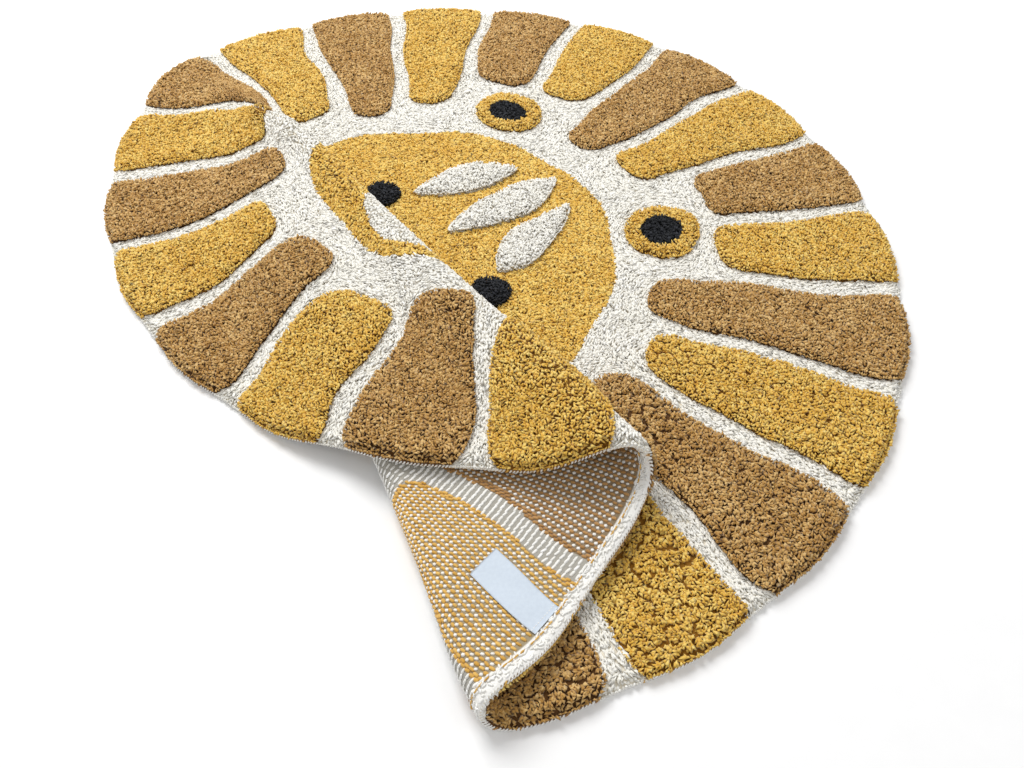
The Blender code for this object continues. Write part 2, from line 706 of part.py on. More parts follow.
def make_label(pleat):
    across = np.linspace(-0.5 * LABEL_WIDTH, 0.5 * LABEL_WIDTH, LABEL_COLUMNS)
    inward = np.linspace(0.5 * LABEL_LENGTH, -0.5 * LABEL_LENGTH, LABEL_ROWS)
    outward, sideways = direction(LABEL_HEADING), direction(LABEL_HEADING + 90.0)
    flat = np.array([LABEL_CENTRE + r * outward + a * sideways for r in inward for a in across])
    triangles = []
    for i in range(LABEL_ROWS - 1):
        for j in range(LABEL_COLUMNS - 1):
            corner = i * LABEL_COLUMNS + j
            beside, below = corner + 1, corner + LABEL_COLUMNS
            triangles += [(corner, beside, below), (beside, below + 1, below)]
    low = np.full(len(flat), -LABEL_GAP - LABEL_THICKNESS)
    high = np.full(len(flat), -LABEL_GAP)
    tape = make_material("label_tape", (0.88, 0.90, 0.93), 0.6)
    cloth_object("care_label", cloth_shape(pleat, flat, np.array(triangles), low, high), tape)


def main():
    for old in list(bpy.data.objects):
        bpy.data.objects.remove(old)
    collection = bpy.data.collections.new(OBJECT)
    bpy.context.scene.collection.children.link(collection)
    pleat = Pleat()
    make_rug(pleat)
    make_label(pleat)


main()
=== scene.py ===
"""The looks of a round tufted cotton rug for a child's room, lying in a pleat, with its care label.

The rug is worked out as its solid is: drawn flat, as a disc with a scalloped rim, rays and a face, and then
carried through the pleat. The cloth is one fine mesh. The cut pile that stands on it, the stitches that show
on its back, the overcast edge and the label are pieces of their own.
"""

import math

import bpy
import numpy as np
from mathutils import Matrix, Vector, noise
from mathutils.geometry import delaunay_2d_cdt

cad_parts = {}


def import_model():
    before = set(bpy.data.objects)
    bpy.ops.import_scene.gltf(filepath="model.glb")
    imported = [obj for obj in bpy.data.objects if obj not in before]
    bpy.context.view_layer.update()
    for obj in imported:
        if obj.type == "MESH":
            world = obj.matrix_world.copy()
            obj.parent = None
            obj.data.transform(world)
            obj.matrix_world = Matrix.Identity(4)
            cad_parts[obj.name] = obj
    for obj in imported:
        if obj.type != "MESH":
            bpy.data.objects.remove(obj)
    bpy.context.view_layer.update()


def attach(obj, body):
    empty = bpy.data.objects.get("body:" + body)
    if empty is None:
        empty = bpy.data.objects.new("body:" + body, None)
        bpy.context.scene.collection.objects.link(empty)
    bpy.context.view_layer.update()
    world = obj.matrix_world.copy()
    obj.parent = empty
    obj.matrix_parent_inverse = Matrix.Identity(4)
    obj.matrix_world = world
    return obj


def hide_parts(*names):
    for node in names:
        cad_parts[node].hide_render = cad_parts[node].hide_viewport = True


# Sizes are metres and angles are degrees. Flat places are seen from above, with the rug's centre at (0, 0).
FOOTPRINT_CENTRE = (0.0844, 0.0052)  # middle of the folded rug's footprint, in the flat drawing's frame

# The cloth.
RUG_RADIUS = 0.600
SCALLOP = 0.005  # depth of the rim's dips between rays
GROUND = 0.0105  # backing and low pile together
RELIEF = 0.0070  # how far the rays and the face's motifs stand above the ground
FLANK = 0.008  # width of a raised shape's side, and of the rim's rounding
RIM_SHARE = 0.6  # the pile's height at the very rim, as a share of its full height

# The drawing.
RAYS = 24
RAY_GAP = 0.026
RAY_CORNER = 0.024
RAY_SETBACKS = (0.045, 0.070)  # plain ring between the face and the rays, which are long and short by turns
RAY_OVERRUN = 0.006  # how far past the rim a ray's rounded outer end would run
CROWN = 35.5  # direction of the top of the head
FACE_BACK = 0.045  # how far the face's middle lies from the rug's, towards the chin
FACE_LENGTH = 0.300  # half sizes of the face
FACE_WIDTH = 0.272
EAR_CLEARANCE = 0.024  # plain ground kept between an ear and the rays
NOSE_TAPER = 0.25  # how much narrower the nose is at its middle than at its top, as a share of its width

# One row for each raised motif: its kind, how far up the face from the rug's centre, how far across, half
# its length, half its width, and its turn.
MOTIFS = (
    ("ear", 0.275, -0.165, 0.046, 0.046, 0.0),
    ("ear", 0.275, 0.165, 0.046, 0.046, 0.0),
    ("lock", 0.145, 0.000, 0.088, 0.028, 0.0),
    ("lock", 0.135, -0.074, 0.076, 0.025, 18.0),
    ("lock", 0.135, 0.074, 0.076, 0.025, -18.0),
    ("eye", 0.030, -0.120, 0.024, 0.021, 0.0),
    ("eye", 0.030, 0.120, 0.024, 0.021, 0.0),
    ("nose", -0.120, 0.000, 0.024, 0.034, 0.0),
)

# The outlines inside the rim wander a little, as hand tufting does. One row for each wave: how fast it turns
# along x and along y, in radians a metre, its phase, and how far it shifts the drawing along x and along y.
WAVES = (
    (0.0, 41.0, 1.3, 0.0035, 0.0),
    (67.0, -23.0, 0.4, 0.0020, 0.0),
    (37.0, 0.0, 2.1, 0.0, 0.0035),
    (31.0, 59.0, 5.0, 0.0, 0.0020),
)

# The pleat. The flap is the flat rug turned by FLAP_TURN about the pivot.
PIVOT_RADIUS = 0.5385
PIVOT_ANGLE = 130.0
FLAP_TURN = 32.0
RISE_REACH = (0.000, 0.070)  # within these reaches the pleat rises from the floor, as a soft hump
SOFT_REACH = (0.100, 0.280)  # and within these it grows sharp, until its layers lie on each other
SOFTNESS = 0.050  # length of cloth over which the hump's bends are smoothed
SOFTEST = 0.40  # the most that this length may be, as a share of the reach
RUN_IN = 0.110  # flat cloth beside the pleat that the smoothing may take in, by the largest reaches
BACK_SPREAD = 70.0  # half the angle behind the pivot over which the flap's turn is spread

# One row for each section of the pleat. Tops are heights of the backing above the floor.
SECTION_COLUMNS = (
    "reach",  # distance from the pivot
    "valley_angle",  # direction of the valley from the pivot
    "valley_top",  # where the valley's turn ends
    "middle_top",  # the middle layer at its lowest
    "foot_top",  # where the middle layer turns up into the ridge
    "crest_top",  # where the flap leaves the ridge
    "flap_lift",  # gap between the flap and the middle layer at its lowest
    "landing",  # distance from the valley to where the flap meets the floor
)
SECTIONS = (
    (0.12, -52.5, 0.024, 0.024, 0.024, 0.044, 0.010, 0.080),
    (0.22, -57.6, 0.030, 0.028, 0.031, 0.056, 0.017, 0.100),
    (0.45, -64.2, 0.032, 0.029, 0.035, 0.060, 0.010, 0.110),
    (0.70, -66.05, 0.029, 0.026, 0.035, 0.064, 0.008, 0.110),
    (0.93, -66.35, 0.033, 0.026, 0.037, 0.076, 0.011, 0.110),
    (1.04, -66.75, 0.040, 0.027, 0.037, 0.079, 0.018, 0.120),
    (1.17, -66.4, 0.056, 0.032, 0.037, 0.079, 0.028, 0.120),
)
EDGE_LIFT = 0.004  # gap between the flap and the valley's turn
LEAST_OVERLAP = 0.51  # of the heights of the two turns together, so that they clear each other
PILE_CLEARANCE = 0.0028  # half the space kept between two faces of pile
FACING_REACH = (0.080, 0.160)  # nearer than the first no layers face each other
POCKET_SIDE = 0.055  # how far pile is tufted under the ridge and inside it
POCKET_MOUTH = 0.120  # and how far in from the rim
OPEN_REACH = 0.120  # nearer the pivot than this all the pile is tufted

# The care label, on the backing, its outer end near the rim.
LABEL_CENTRE = (-0.0364, -0.5405)
LABEL_HEADING = -95.4  # the way its outer end points
LABEL_LENGTH = 0.086
LABEL_WIDTH = 0.035
LABEL_THICKNESS = 0.0006
LABEL_GAP = 0.0012
LABEL_STEP = 0.002
LABEL_WAVE = 0.0005
LABEL_RIPPLES = (95.0, 60.0, 130.0, 0.7)  # how fast its wave turns, in radians a metre, and the phase
LABEL_HELD = 0.018  # from its sewn end to where it waves in full
LABEL_THREADS = 9000.0  # radians of its weave in a metre
SEAM_INSET = 0.0045  # from the label's outer end to the stitches that hold it

# Colour without relief: the dark middle of an ear as a share of the ear, the muzzle, and the dots on it, in
# pairs that lie so far up the face and so far across it to both sides.
EAR_CENTRE = 0.55
MUZZLE = ("muzzle", -0.225, 0.000, 0.105, 0.130, 0.0)
DOT_SIZE = 0.009
DOT_PAIRS = ((-0.185, 0.075), (-0.225, 0.092), (-0.215, 0.050))
DOTS = [("dot", up, side * across, DOT_SIZE, DOT_SIZE, 0.0) for up, across in DOT_PAIRS for side in (-1, 1)]

# Tables of the pleat's sections.
REACHES = 240
SECTION_STEPS = 220
TURN_STEPS = 28
LANDING_SHARE = 0.55  # the share of a section past which its end is drawn to where the flat rug goes on
NORMAL_STEP = 0.003  # how far apart the backing is read to find which way the pile stands
TINY = 1e-6
HALVINGS = 24

# The fine mesh of the cloth.
CLOTH_STEP = 0.0075  # distance between points
RIM_STEP = 0.6  # distance between points along the rim, as a share of the step
RIM_SPARE = 0.7  # and between the rim and the other points
GROUND_SHOWS = 0.0034  # how far the ground's pile stands above the cloth's mesh
RAISED_SHOWS = 0.0046  # and the raised pile
LEAST_CLOTH = 0.0035  # the cloth is at least this thick
EDGE_BULGES = ((0.0010, 0.33), (0.0010, 0.67))  # how far the edge bulges, at shares of its height
HEM = 0.014  # width of the soft band along the rim on the back
ROW_SHARE = math.sqrt(0.75)  # distance between staggered rows, as a share of the step
INSIDE_EDGES = 1  # the triangulation's choice to keep only what the outer edges enclose

# The pile. One row for each kind of place: the distance between strands, the radius of a strand's belly, its
# length above the belly, how far its tip strays, how unevenly high the tips are, the size of the clumps that
# strands gather in, and how far they lean to a clump's middle, as a share of the way.
PILES = {
    "raised": (0.00305, 0.00250, 0.0020, 0.0014, 0.00060, 0.0084, 0.25),
    "ground": (0.00320, 0.00290, 0.0014, 0.0011, 0.00030, 0.0078, 0.17),
    "side": (0.00290, 0.00190, 0.0020, 0.0009, 0.00060, 0.0082, 0.15),
    "rim": (0.00300, 0.00190, 0.0018, 0.0009, 0.00050, 0.0074, 0.15),
}
SIDE_INSET = 0.0014  # the strands along an outline stand this far inside it
SIDE_LEAN = 0.0024  # and their tips lean this far outwards
JITTER = 0.25  # how far a strand is moved from its even place at most, as a share of the distance
CREST_ROUNDING = 0.010
CREST_DROP = 0.32  # how much lower a raised shape's pile is at its outline, as a share of the relief
STRAND = 0.0060  # a strand's length, in pile that shows
LEAST_FOOT = 0.001  # height of a strand's root at the least
RISES = (0.0, 0.7, 0.7, 0.7, 1.0)  # from the painted shade at a root to the strand's own colour: the root, the belly's corners, the tip
SIDE_ROOT = 0.6  # the same for the roots along an outline, which are painted with less shade
TONE_SPREAD = 0.28  # how unevenly bleached the strands are
BELLY_LEAN = 0.85  # how far a belly leans, as a share of the tip's lean
BELLY_SCATTER = 0.3  # how uneven the heights of a belly's corners are, as a share of its radius
HEAD_SPREAD = (0.75, 1.25)
BELLY_SPREAD = (0.8, 1.2)
CLUMP_DROP = 0.0005  # how much lower the strands at a clump's edge are
CLUMP_REACH = 0.6  # a clump's reach, as a share of its size
CLUMP_HASH = ((12.9898, 39.3461), (78.2330, 11.1352))  # mixes a cell's numbers into its clump's place
CLUMP_HASH_GAIN = 43758.5453
CURL = (1.40, 0.74)  # a belly's half length and half width, as shares of its radius
LAID_CURL = (1.75, 0.66)  # the same in the cream ground, where the strands lie along the raised outlines
CURL_DRIFT = 0.011  # distance over which the bellies' headings change
CURL_SCATTER = 0.40  # radians
LOOSE_PLACE = (0.150, -0.400)  # the clumps part most here, beside the open end of the pleat
LOOSE_REACH = 0.280
LOOSENESS = (0.35, 0.75)  # far away, and how much more at that place
LOOSE_DRIFT = (0.060, 0.9)  # distance over which the looseness changes, and by how much
LOOSE_LIMITS = (0.20, 1.35)
LEAN_DRIFT = (0.012, 0.0008)  # distance over which the lean changes, and by how much
STRAY_ENDS = 0.012  # share of the strands that stick out
STRAY_RISE = 0.0018
DRIFT_SHIFT = 7.3  # how far apart the seeds of drifting values lie in the noise
DRIFT_GAIN = 1.6  # brings the noise to about -1 to 1
DRAWN_ROUNDS = 3  # steps in which strands are drawn to an outline
LEAST_SQUARE = 0.1  # the square of a depth's gradient counts as at least this there
NOISE_SEED = 4  # without it the drifting values would be new in each run

# The back. Stitches stand in columns along the rays and in rows along the rim. Each row of the tables is half
# a stitch's length, half its width, and its turn from the row.
STITCH_COLUMNS = 1120  # columns all round
STITCH_ROW = 0.0062
STITCH_HEIGHT = 0.0011
STITCH_SINK = 0.0002
GROUND_STITCH = (0.0044, 0.00150, 9.0)
DYED_STITCH = (0.0036, 0.00180, 80.0)
PALE_STITCH = (0.0022, 0.00160, 55.0)
OUTLINE_STITCHES = 0.0050  # within this depth of a ray's outline all its stitches are dyed
THINNED_RADIUS = 0.38  # nearer the centre than this there are half as many columns
BACK_REACH = 0.45  # the back's stitches are made only farther from the pivot than this
BACK_DEPTH = 0.36  # and nearer the rim than this
BACK_SPARE = 0.020  # how far they go on past the layers whose back faces up
STITCH_TONE_SPREAD = 0.25
STITCH_SCATTER = 0.0003
SLANT_SCATTER = 0.09  # radians
STITCH_LENGTHS = (0.88, 1.12)
STITCH_WIDTHS = (0.85, 1.15)
EDGE_STITCH = (0.0032, 0.0014, 48.0)
EDGE_STITCH_PITCH = 0.0036
EDGE_STITCH_HEIGHT = 0.0026
EDGE_OUTSET = 0.0004
EDGE_SCATTER = 0.0001
EDGE_LOOK = 0.98  # where the edge's stitches take their colour, as a share of the radius
EDGE_DYED = 0.10  # share of the edge's stitches that are dyed
FLUFF_PITCH = 0.0011
LINE_EVERY = 6  # one in so many of the hem's yarns lies in the dyed line
LINE_DYED = 0.75  # share of the line that shows its colour
LINE_INSET = 0.003  # from the hem's inner side to the line
FLUFF_DEPTHS = (0.0015, HEM)
FLUFF_SCATTER = 0.7  # radians
FLUFF_HEIGHT = 0.0009
SEAM_PITCH = 0.0032
SEAM_STITCH = (0.0012, 0.0004, 0.0004)  # half a stitch's length, half its width and its height

# The half length, the half width and the level of the hem's yarns: in its line, and the limits elsewhere.
HEM_YARNS = ((0.0036, (0.0020, 0.0038)), (0.0008, (0.0009, 0.0015)), (0.0012, (0.0003, 0.0012)))

# The camera, as it stood for the photograph.
CAMERA_PLACE = (0.0363, -0.8280, 0.7614)
CAMERA_TILT = 90.0 - 51.22
CAMERA_ROLL = -1.69
CAMERA_LENS = 30.6  # millimetres, on a sensor 36 mm wide

FLOOR_REACH = 6.0
WORLD_LIGHT = 0.55

# The places, sizes and powers of the lamps.
LAMPS = {"window": ((-1.1, 1.8, 2.8), 1.8, 106.0), "fill": ((2.0, -1.2, 2.6), 3.0, 10.0)}

BROWN, MUSTARD, CREAM, CHARCOAL = "brown", "mustard", "cream", "charcoal"


def direction(degrees):
    return np.array([math.cos(math.radians(degrees)), math.sin(math.radians(degrees))])


def pointing(angles):
    """The ways that angles in radians point."""
    return np.stack([np.cos(angles), np.sin(angles)], axis=1)


def changes(read, flat, step):
    """How much what is read at flat points changes along x and along y, over twice the step."""
    along_x = read(flat + (step, 0.0)) - read(flat - (step, 0.0))
    return along_x, read(flat + (0.0, step)) - read(flat - (0.0, step))


def smooth(x):
    x = np.clip(x, 0.0, 1.0)
    return x * x * (3.0 - 2.0 * x)


def grown(value, limits):
    """Grows smoothly from 0 at the first limit to 1 at the second."""
    return smooth((value - limits[0]) / (limits[1] - limits[0]))


def smooth_through(xs, ys, x):
    """A curve through the points that never overshoots them, read at x."""
    xs, ys = np.asarray(xs, float), np.asarray(ys, float)
    run = np.diff(xs)
    slope = np.diff(ys) / run
    before, after = slope[:-1], slope[1:]
    same_way = before * after > 0.0
    tangent = np.zeros(len(xs))
    tangent[1:-1][same_way] = (2.0 * before * after)[same_way] / (before + after)[same_way]
    i = np.clip(np.searchsorted(xs, x) - 1, 0, len(run) - 1)
    t = np.clip((x - xs[i]) / run[i], 0.0, 1.0)
    level = ys[i] + (ys[i + 1] - ys[i]) * smooth(t)
    swing = t * (1.0 - t) * run[i]
    return level + swing * ((1.0 - t) * tangent[i] - t * tangent[i + 1])


# ---- The pleat

PIVOT = PIVOT_RADIUS * direction(PIVOT_ANGLE)
BEHIND = math.radians(PIVOT_ANGLE)
TURN = math.radians(FLAP_TURN)
FULL_TURN = 2.0 * math.pi


def section_sizes(reach):
    """The named sizes of the section at this reach. Nearer than the first row they shrink with the reach."""
    columns = np.array(SECTIONS).T
    first = columns[0, 0]
    at = np.array([max(reach, first)])
    sizes = {}
    for name, column in zip(SECTION_COLUMNS[1:], columns[1:]):
        sizes[name] = float(smooth_through(columns[0], column, at)[0]) * min(1.0, reach / first)
    sizes["valley_angle"] = math.radians(sizes["valley_angle"] / min(1.0, reach / first))
    return sizes


def run_in(reach):
    """Length of the flat cloth that a section takes in at each of its ends."""
    return min(reach, RUN_IN)


def half_turn(side, low, high, way):
    """The backing's half circle from height low to height high, bulging from side to the right or left."""
    around = np.linspace(-0.5 * math.pi, 0.5 * math.pi, TURN_STEPS)
    radius = 0.5 * (high - low)
    return np.stack([side + way * radius * np.cos(around), low + radius + radius * np.sin(around)], axis=1)


def section_path(sizes, reach, overlap):
    """The backing in one section, as places along the arc and heights, from the toe to the landing."""
    valley = reach * sizes["valley_angle"]
    toe = valley + 0.5 * sizes["valley_top"]
    foot = valley + overlap - 0.5 * (sizes["crest_top"] - sizes["foot_top"])
    middle = 0.5 * (toe + foot)
    landing = valley - sizes["landing"]
    tops = (sizes["valley_top"], sizes["middle_top"], sizes["foot_top"])
    inward = np.linspace(toe, foot, TURN_STEPS)[1:-1]
    middle_layer = smooth_through((toe, middle, foot), tops, inward)
    over_edge = sizes["valley_top"] + EDGE_LIFT
    over_middle = max(sizes["middle_top"] + sizes["flap_lift"], over_edge)
    outward = np.linspace(foot, landing, 3 * TURN_STEPS)[1:]
    tops = (0.0, over_edge, over_middle, sizes["crest_top"])
    flap = smooth_through((landing, toe, middle, foot), tops, outward)
    return np.concatenate(
        [
            half_turn(toe, 0.0, sizes["valley_top"], way=-1.0),
            np.stack([inward, middle_layer], axis=1),
            half_turn(foot, sizes["foot_top"], sizes["crest_top"], way=1.0),
            np.stack([outward, flap], axis=1),
        ]
    )


def lengths_along(path):
    return np.concatenate([[0.0], np.cumsum(np.hypot(*np.diff(path, axis=0).T))])


def fitted_path(sizes, reach):
    """The section whose overlap takes up just what the flap's turn takes up, found by halving."""
    low = LEAST_OVERLAP * (sizes["valley_top"] + sizes["crest_top"] - sizes["foot_top"])
    high = low + 0.5 * reach
    for _ in range(HALVINGS):
        overlap = 0.5 * (low + high)
        path = section_path(sizes, reach, overlap)
        taken_up = lengths_along(path)[-1] - (path[0, 0] - path[-1, 0])
        if taken_up > TURN * reach:
            high = overlap
        else:
            low = overlap
    return path


def softened(path, spacing, reach):
    """An evenly spaced path with its bends smoothed by the softness at this reach."""
    spread = min(SOFTEST * reach, SOFTNESS * (1.0 - grown(reach, SOFT_REACH)))
    if spread < spacing:
        return path
    margin = int(4.0 * spread / spacing)
    away = spacing * np.arange(1, margin + 1)
    before = np.stack([path[0, 0] + away[::-1], np.zeros(margin)], axis=1)
    after = np.stack([path[-1, 0] - away, np.zeros(margin)], axis=1)
    weights = np.exp(-0.5 * (spacing * np.arange(-margin, margin + 1) / spread) ** 2)
    padded = np.concatenate([before, path, after])
    return np.stack([np.convolve(column, weights / weights.sum(), "valid") for column in padded.T], axis=1)


class Pleat:
    """Carries points of the flat rug to their places in the pleat, by tables read between their entries.

    A section runs from its start, on the floor before the toe, to its end, on the floor past the landing.
    """

    def __init__(self):
        self.reaches = np.linspace(0.0, 2.0 * RUG_RADIUS, REACHES + 1)
        self.reaches[0] = 0.1 * self.reaches[1]
        tables = np.zeros((4, REACHES + 1, SECTION_STEPS))
        self.sideways, self.heights, self.room_inside, self.room_below = tables
        self.start, self.toe, self.ridge, self.length, self.miss, self.overhang = np.zeros((6, REACHES + 1))
        for row, reach in enumerate(self.reaches):
            sizes = section_sizes(reach)
            path = fitted_path(sizes, reach)
            self.add_path(row, path, reach)
            self.add_room(row, path, reach, sizes["valley_top"])

    def add_path(self, row, path, reach):
        """Fills a row of the tables of places."""
        side = np.array([[run_in(reach), 0.0]])
        whole = np.concatenate([path[:1] + side, path, path[-1:] - side])
        along = lengths_along(whole)
        even = np.linspace(0.0, along[-1], SECTION_STEPS)
        evenly = np.stack([np.interp(even, along, column) for column in whole.T], axis=1)
        level = np.linspace(whole[0], whole[-1], SECTION_STEPS)
        soft = softened(evenly, even[1], reach)
        self.sideways[row], self.heights[row] = (level + (soft - level) * grown(reach, RISE_REACH)).T
        self.start[row] = whole[0, 0]
        self.toe[row] = path[0, 0]
        self.length[row] = along[-1]
        self.miss[row] = whole[0, 0] - along[-1] + TURN * reach - whole[-1, 0]

    def add_room(self, row, path, reach, valley_top):
        """Fills a row of the tables of half the gaps between facing layers, in the pleat and under it."""
        ridge = int(np.argmax(path[:, 0]))
        along = lengths_along(path) + run_in(reach)
        self.ridge[row] = along[ridge]
        past_ridge = np.maximum(along - along[ridge], 0.0)
        gap = np.where(past_ridge > 0.0, path[ridge, 1] + 2.0 * past_ridge, path[:, 1])
        gap[:TURN_STEPS] = valley_top
        self.room_inside[row] = 0.5 * np.interp(np.linspace(0.0, self.length[row], SECTION_STEPS), along, gap)
        self.overhang[row] = path[ridge, 0] - path[0, 0]
        covered = slice(TURN_STEPS - 1, ridge + 1)
        under = path[0, 0] + np.linspace(0.0, self.overhang[row], SECTION_STEPS)
        self.room_below[row] = 0.5 * np.interp(under, path[covered, 0], path[covered, 1])

    def by_reach(self, values, reach):
        return np.interp(reach, self.reaches, values)

    def by_share(self, table, reach, share):
        """A table of the sections, read at a reach and a share of the section's length."""
        row = np.interp(reach, self.reaches, np.arange(REACHES + 1))
        column = np.clip(share, 0.0, 1.0) * (SECTION_STEPS - 1)
        i = np.minimum(row.astype(int), REACHES - 1)
        j = np.minimum(column.astype(int), SECTION_STEPS - 2)
        u, v = row - i, column - j
        near = table[i, j] * (1.0 - v) + table[i, j + 1] * v
        far = table[i + 1, j] * (1.0 - v) + table[i + 1, j + 1] * v
        return near * (1.0 - u) + far * u

    def polar(self, flat):
        """Reach and angle about the pivot, and how far past its section's start a point lies.

        The angle runs down from behind the pivot, all the way round.
        """
        offset = flat - PIVOT
        reach = np.maximum(np.hypot(offset[:, 0], offset[:, 1]), TINY)
        angle = BEHIND - np.mod(BEHIND - np.arctan2(offset[:, 1], offset[:, 0]), FULL_TURN)
        return reach, angle, self.by_reach(self.start, reach) - reach * angle

    def backing(self, flat):
        """Places of the backing for flat points."""
        reach, angle, along = self.polar(flat)
        share = along / self.by_reach(self.length, reach)
        landing = smooth((share - LANDING_SHARE) / (1.0 - LANDING_SHARE)) * self.by_reach(self.miss, reach)
        around = (self.by_share(self.sideways, reach, share) + landing) / reach
        around = np.where(share <= 0.0, angle, around)
        around = np.where(share >= 1.0, angle + TURN, around)
        height = np.where((share > 0.0) & (share < 1.0), self.by_share(self.heights, reach, share), 0.0)
        from_behind = np.minimum(BEHIND - angle, angle + FULL_TURN - BEHIND) / math.radians(BACK_SPREAD)
        half_turned = 0.5 * TURN * (1.0 - smooth(from_behind))
        around += np.where(share > 0.5, -half_turned, half_turned)
        place = PIVOT + reach[:, None] * pointing(around)
        return np.column_stack([place - FOOTPRINT_CENTRE, height])

    def frame(self, flat):
        """Places of the backing, the ways that flat x and y run there, and the way that the pile stands."""
        along_x, along_y = changes(self.backing, flat, NORMAL_STEP)
        stand = np.cross(along_x, along_y)
        stand /= np.linalg.norm(stand, axis=1)[:, None]
        return self.backing(flat), along_x / (2.0 * NORMAL_STEP), along_y / (2.0 * NORMAL_STEP), stand

    def headroom(self, flat):
        """The most that the pile may stand above the backing without meeting the pile that faces it."""
        reach, angle, along = self.polar(flat)
        inside = self.by_share(self.room_inside, reach, along / self.by_reach(self.length, reach))
        overhang = self.by_reach(self.overhang, reach)
        before_toe = reach * angle - self.by_reach(self.toe, reach)
        below = self.by_share(self.room_below, reach, before_toe / overhang)
        below += np.maximum(before_toe - overhang, 0.0)
        room = np.where(before_toe <= 0.0, inside, below)
        return room + 1.0 - grown(reach, FACING_REACH) - PILE_CLEARANCE

    def place(self, flat, height):
        """Places of points that stand a height above the backing, on the pile's side."""
        base, _, _, stand = self.frame(flat)
        return base + stand * np.reshape(height, (-1, 1))

    def on_flap(self, flat):
        """Whether flat points lie past the ridge."""
        reach, _, along = self.polar(flat)
        return along > self.by_reach(self.ridge, reach)

    def pile_shows(self, flat):
        """Whether the pile at flat points is in the open or in the mouth of the pleat."""
        reach, angle, along = self.polar(flat)
        before_toe = reach * angle - self.by_reach(self.toe, reach)
        out_of_cover = before_toe > self.by_reach(self.overhang, reach) - POCKET_SIDE
        near_ridge = along > self.by_reach(self.ridge, reach) - POCKET_SIDE
        return out_of_cover | near_ridge | (rim_depth(flat) < POCKET_MOUTH) | (reach < OPEN_REACH)

    def back_shows(self, flat):
        """Whether the backing at flat points faces up, in the middle layer or the valley's turn."""
        reach, _, along = self.polar(flat)
        past_toe = along - np.minimum(reach, RUN_IN)
        layer = (past_toe > -BACK_SPARE) & (along < self.by_reach(self.ridge, reach) + BACK_SPARE)
        return layer & (reach > BACK_REACH) & (rim_depth(flat) < BACK_DEPTH)


# ---- The flat drawing. Each depth is how far inside a shape's outline a flat point lies.


def rim_radius(angle):
    """The scalloped rim: full at the middle of each ray, dipping between rays."""
    beside = np.cos(0.5 * RAYS * (angle - math.radians(CROWN)))
    return RUG_RADIUS - SCALLOP * beside**2


def rim_depth(flat):
    return rim_radius(np.arctan2(flat[:, 1], flat[:, 0])) - np.hypot(flat[:, 0], flat[:, 1])


def wandering(flat):
    """The places in the even drawing of what lies at flat points."""
    even = np.array(flat, float)
    for along_x, along_y, phase, shift_x, shift_y in WAVES:
        wave = np.sin(along_x * flat[:, 0] + along_y * flat[:, 1] + phase)
        even += wave[:, None] * (shift_x, shift_y)
    return even


def on_face(flat):
    """Flat points given by how far they lie up the face and across it."""
    return flat @ direction(CROWN), flat @ direction(CROWN - 90.0)


def face_place(up, across):
    return up * direction(CROWN) + across * direction(CROWN - 90.0)


def rounded_both(first, second, corner):
    """Depth inside both of two shapes, with the corner between their outlines rounded."""
    rounded = corner - np.hypot(np.maximum(corner - first, 0.0), np.maximum(corner - second, 0.0))
    return np.where((first > corner) & (second > corner), np.minimum(first, second), rounded)


def face_radius(angle):
    """Distance of the face's outline, an ellipse, from the rug's centre, in a direction."""
    c, s = np.cos(angle - math.radians(CROWN)), np.sin(angle - math.radians(CROWN))
    square = (c / FACE_LENGTH) ** 2 + (s / FACE_WIDTH) ** 2
    linear = c * FACE_BACK / FACE_LENGTH**2
    rest = (FACE_BACK / FACE_LENGTH) ** 2 - 1.0
    return (-linear + np.sqrt(linear**2 - square * rest)) / square


def face_depth(flat):
    even = wandering(flat)
    return face_radius(np.arctan2(even[:, 1], even[:, 0])) - np.hypot(even[:, 0], even[:, 1])


def ray_middle(number):
    return math.radians(CROWN) + FULL_TURN * (number + 0.5) / RAYS


def ray_start(number):
    """Distance of a ray's inner end from the rug's centre. The ears cut some rays short."""
    middle = ray_middle(number)
    along = np.array([math.cos(middle), math.sin(middle)])
    start = float(face_radius(middle)) + RAY_SETBACKS[number % 2]
    half_width = 0.5 * start * FULL_TURN / RAYS
    for kind, up, across, radius, _, _ in MOTIFS:
        ear = face_place(up, across)
        aside = max(0.0, abs(along[0] * ear[1] - along[1] * ear[0]) - half_width)
        clear = radius + EAR_CLEARANCE
        if kind == "ear" and aside < clear:
            start = max(start, along @ ear + math.sqrt(clear**2 - aside**2))
    return start


RAY_STARTS = np.array([ray_start(number) for number in range(RAYS)])


def in_rays(flat):
    """In the even drawing, how many rays' widths flat points lie round from the crown, and how far out."""
    even = wandering(flat)
    turns = (np.arctan2(even[:, 1], even[:, 0]) - math.radians(CROWN)) * RAYS / FULL_TURN
    return turns, np.hypot(even[:, 0], even[:, 1])


def ray_depth(flat):
    turns, radius = in_rays(flat)
    number = np.floor(turns)
    from_side = (0.5 - np.abs(turns - number - 0.5)) * FULL_TURN / RAYS
    side = radius * np.sin(from_side) - 0.5 * RAY_GAP
    inner_end = radius - RAY_STARTS[number.astype(int) % RAYS]
    return rounded_both(side, np.minimum(inner_end, rim_depth(flat) + RAY_OVERRUN), RAY_CORNER)


def motif_depth(flat, motif):
    kind, up, across, length, width, turn = motif
    scale = min(length, width)
    place_up, place_across = on_face(wandering(flat))
    c, s = math.cos(math.radians(turn)), math.sin(math.radians(turn))
    along = (place_up - up) * c + (place_across - across) * s
    aside = (place_across - across) * c - (place_up - up) * s
    if kind == "lock":
        bow = (length**2 + width**2) / (2.0 * width)
        return bow - np.hypot(along, np.abs(aside) + bow - width)
    if kind == "nose":
        width = width * (1.0 + NOSE_TAPER * (along / length - 1.0))
    return (1.0 - np.hypot(along / length, aside / width)) * scale


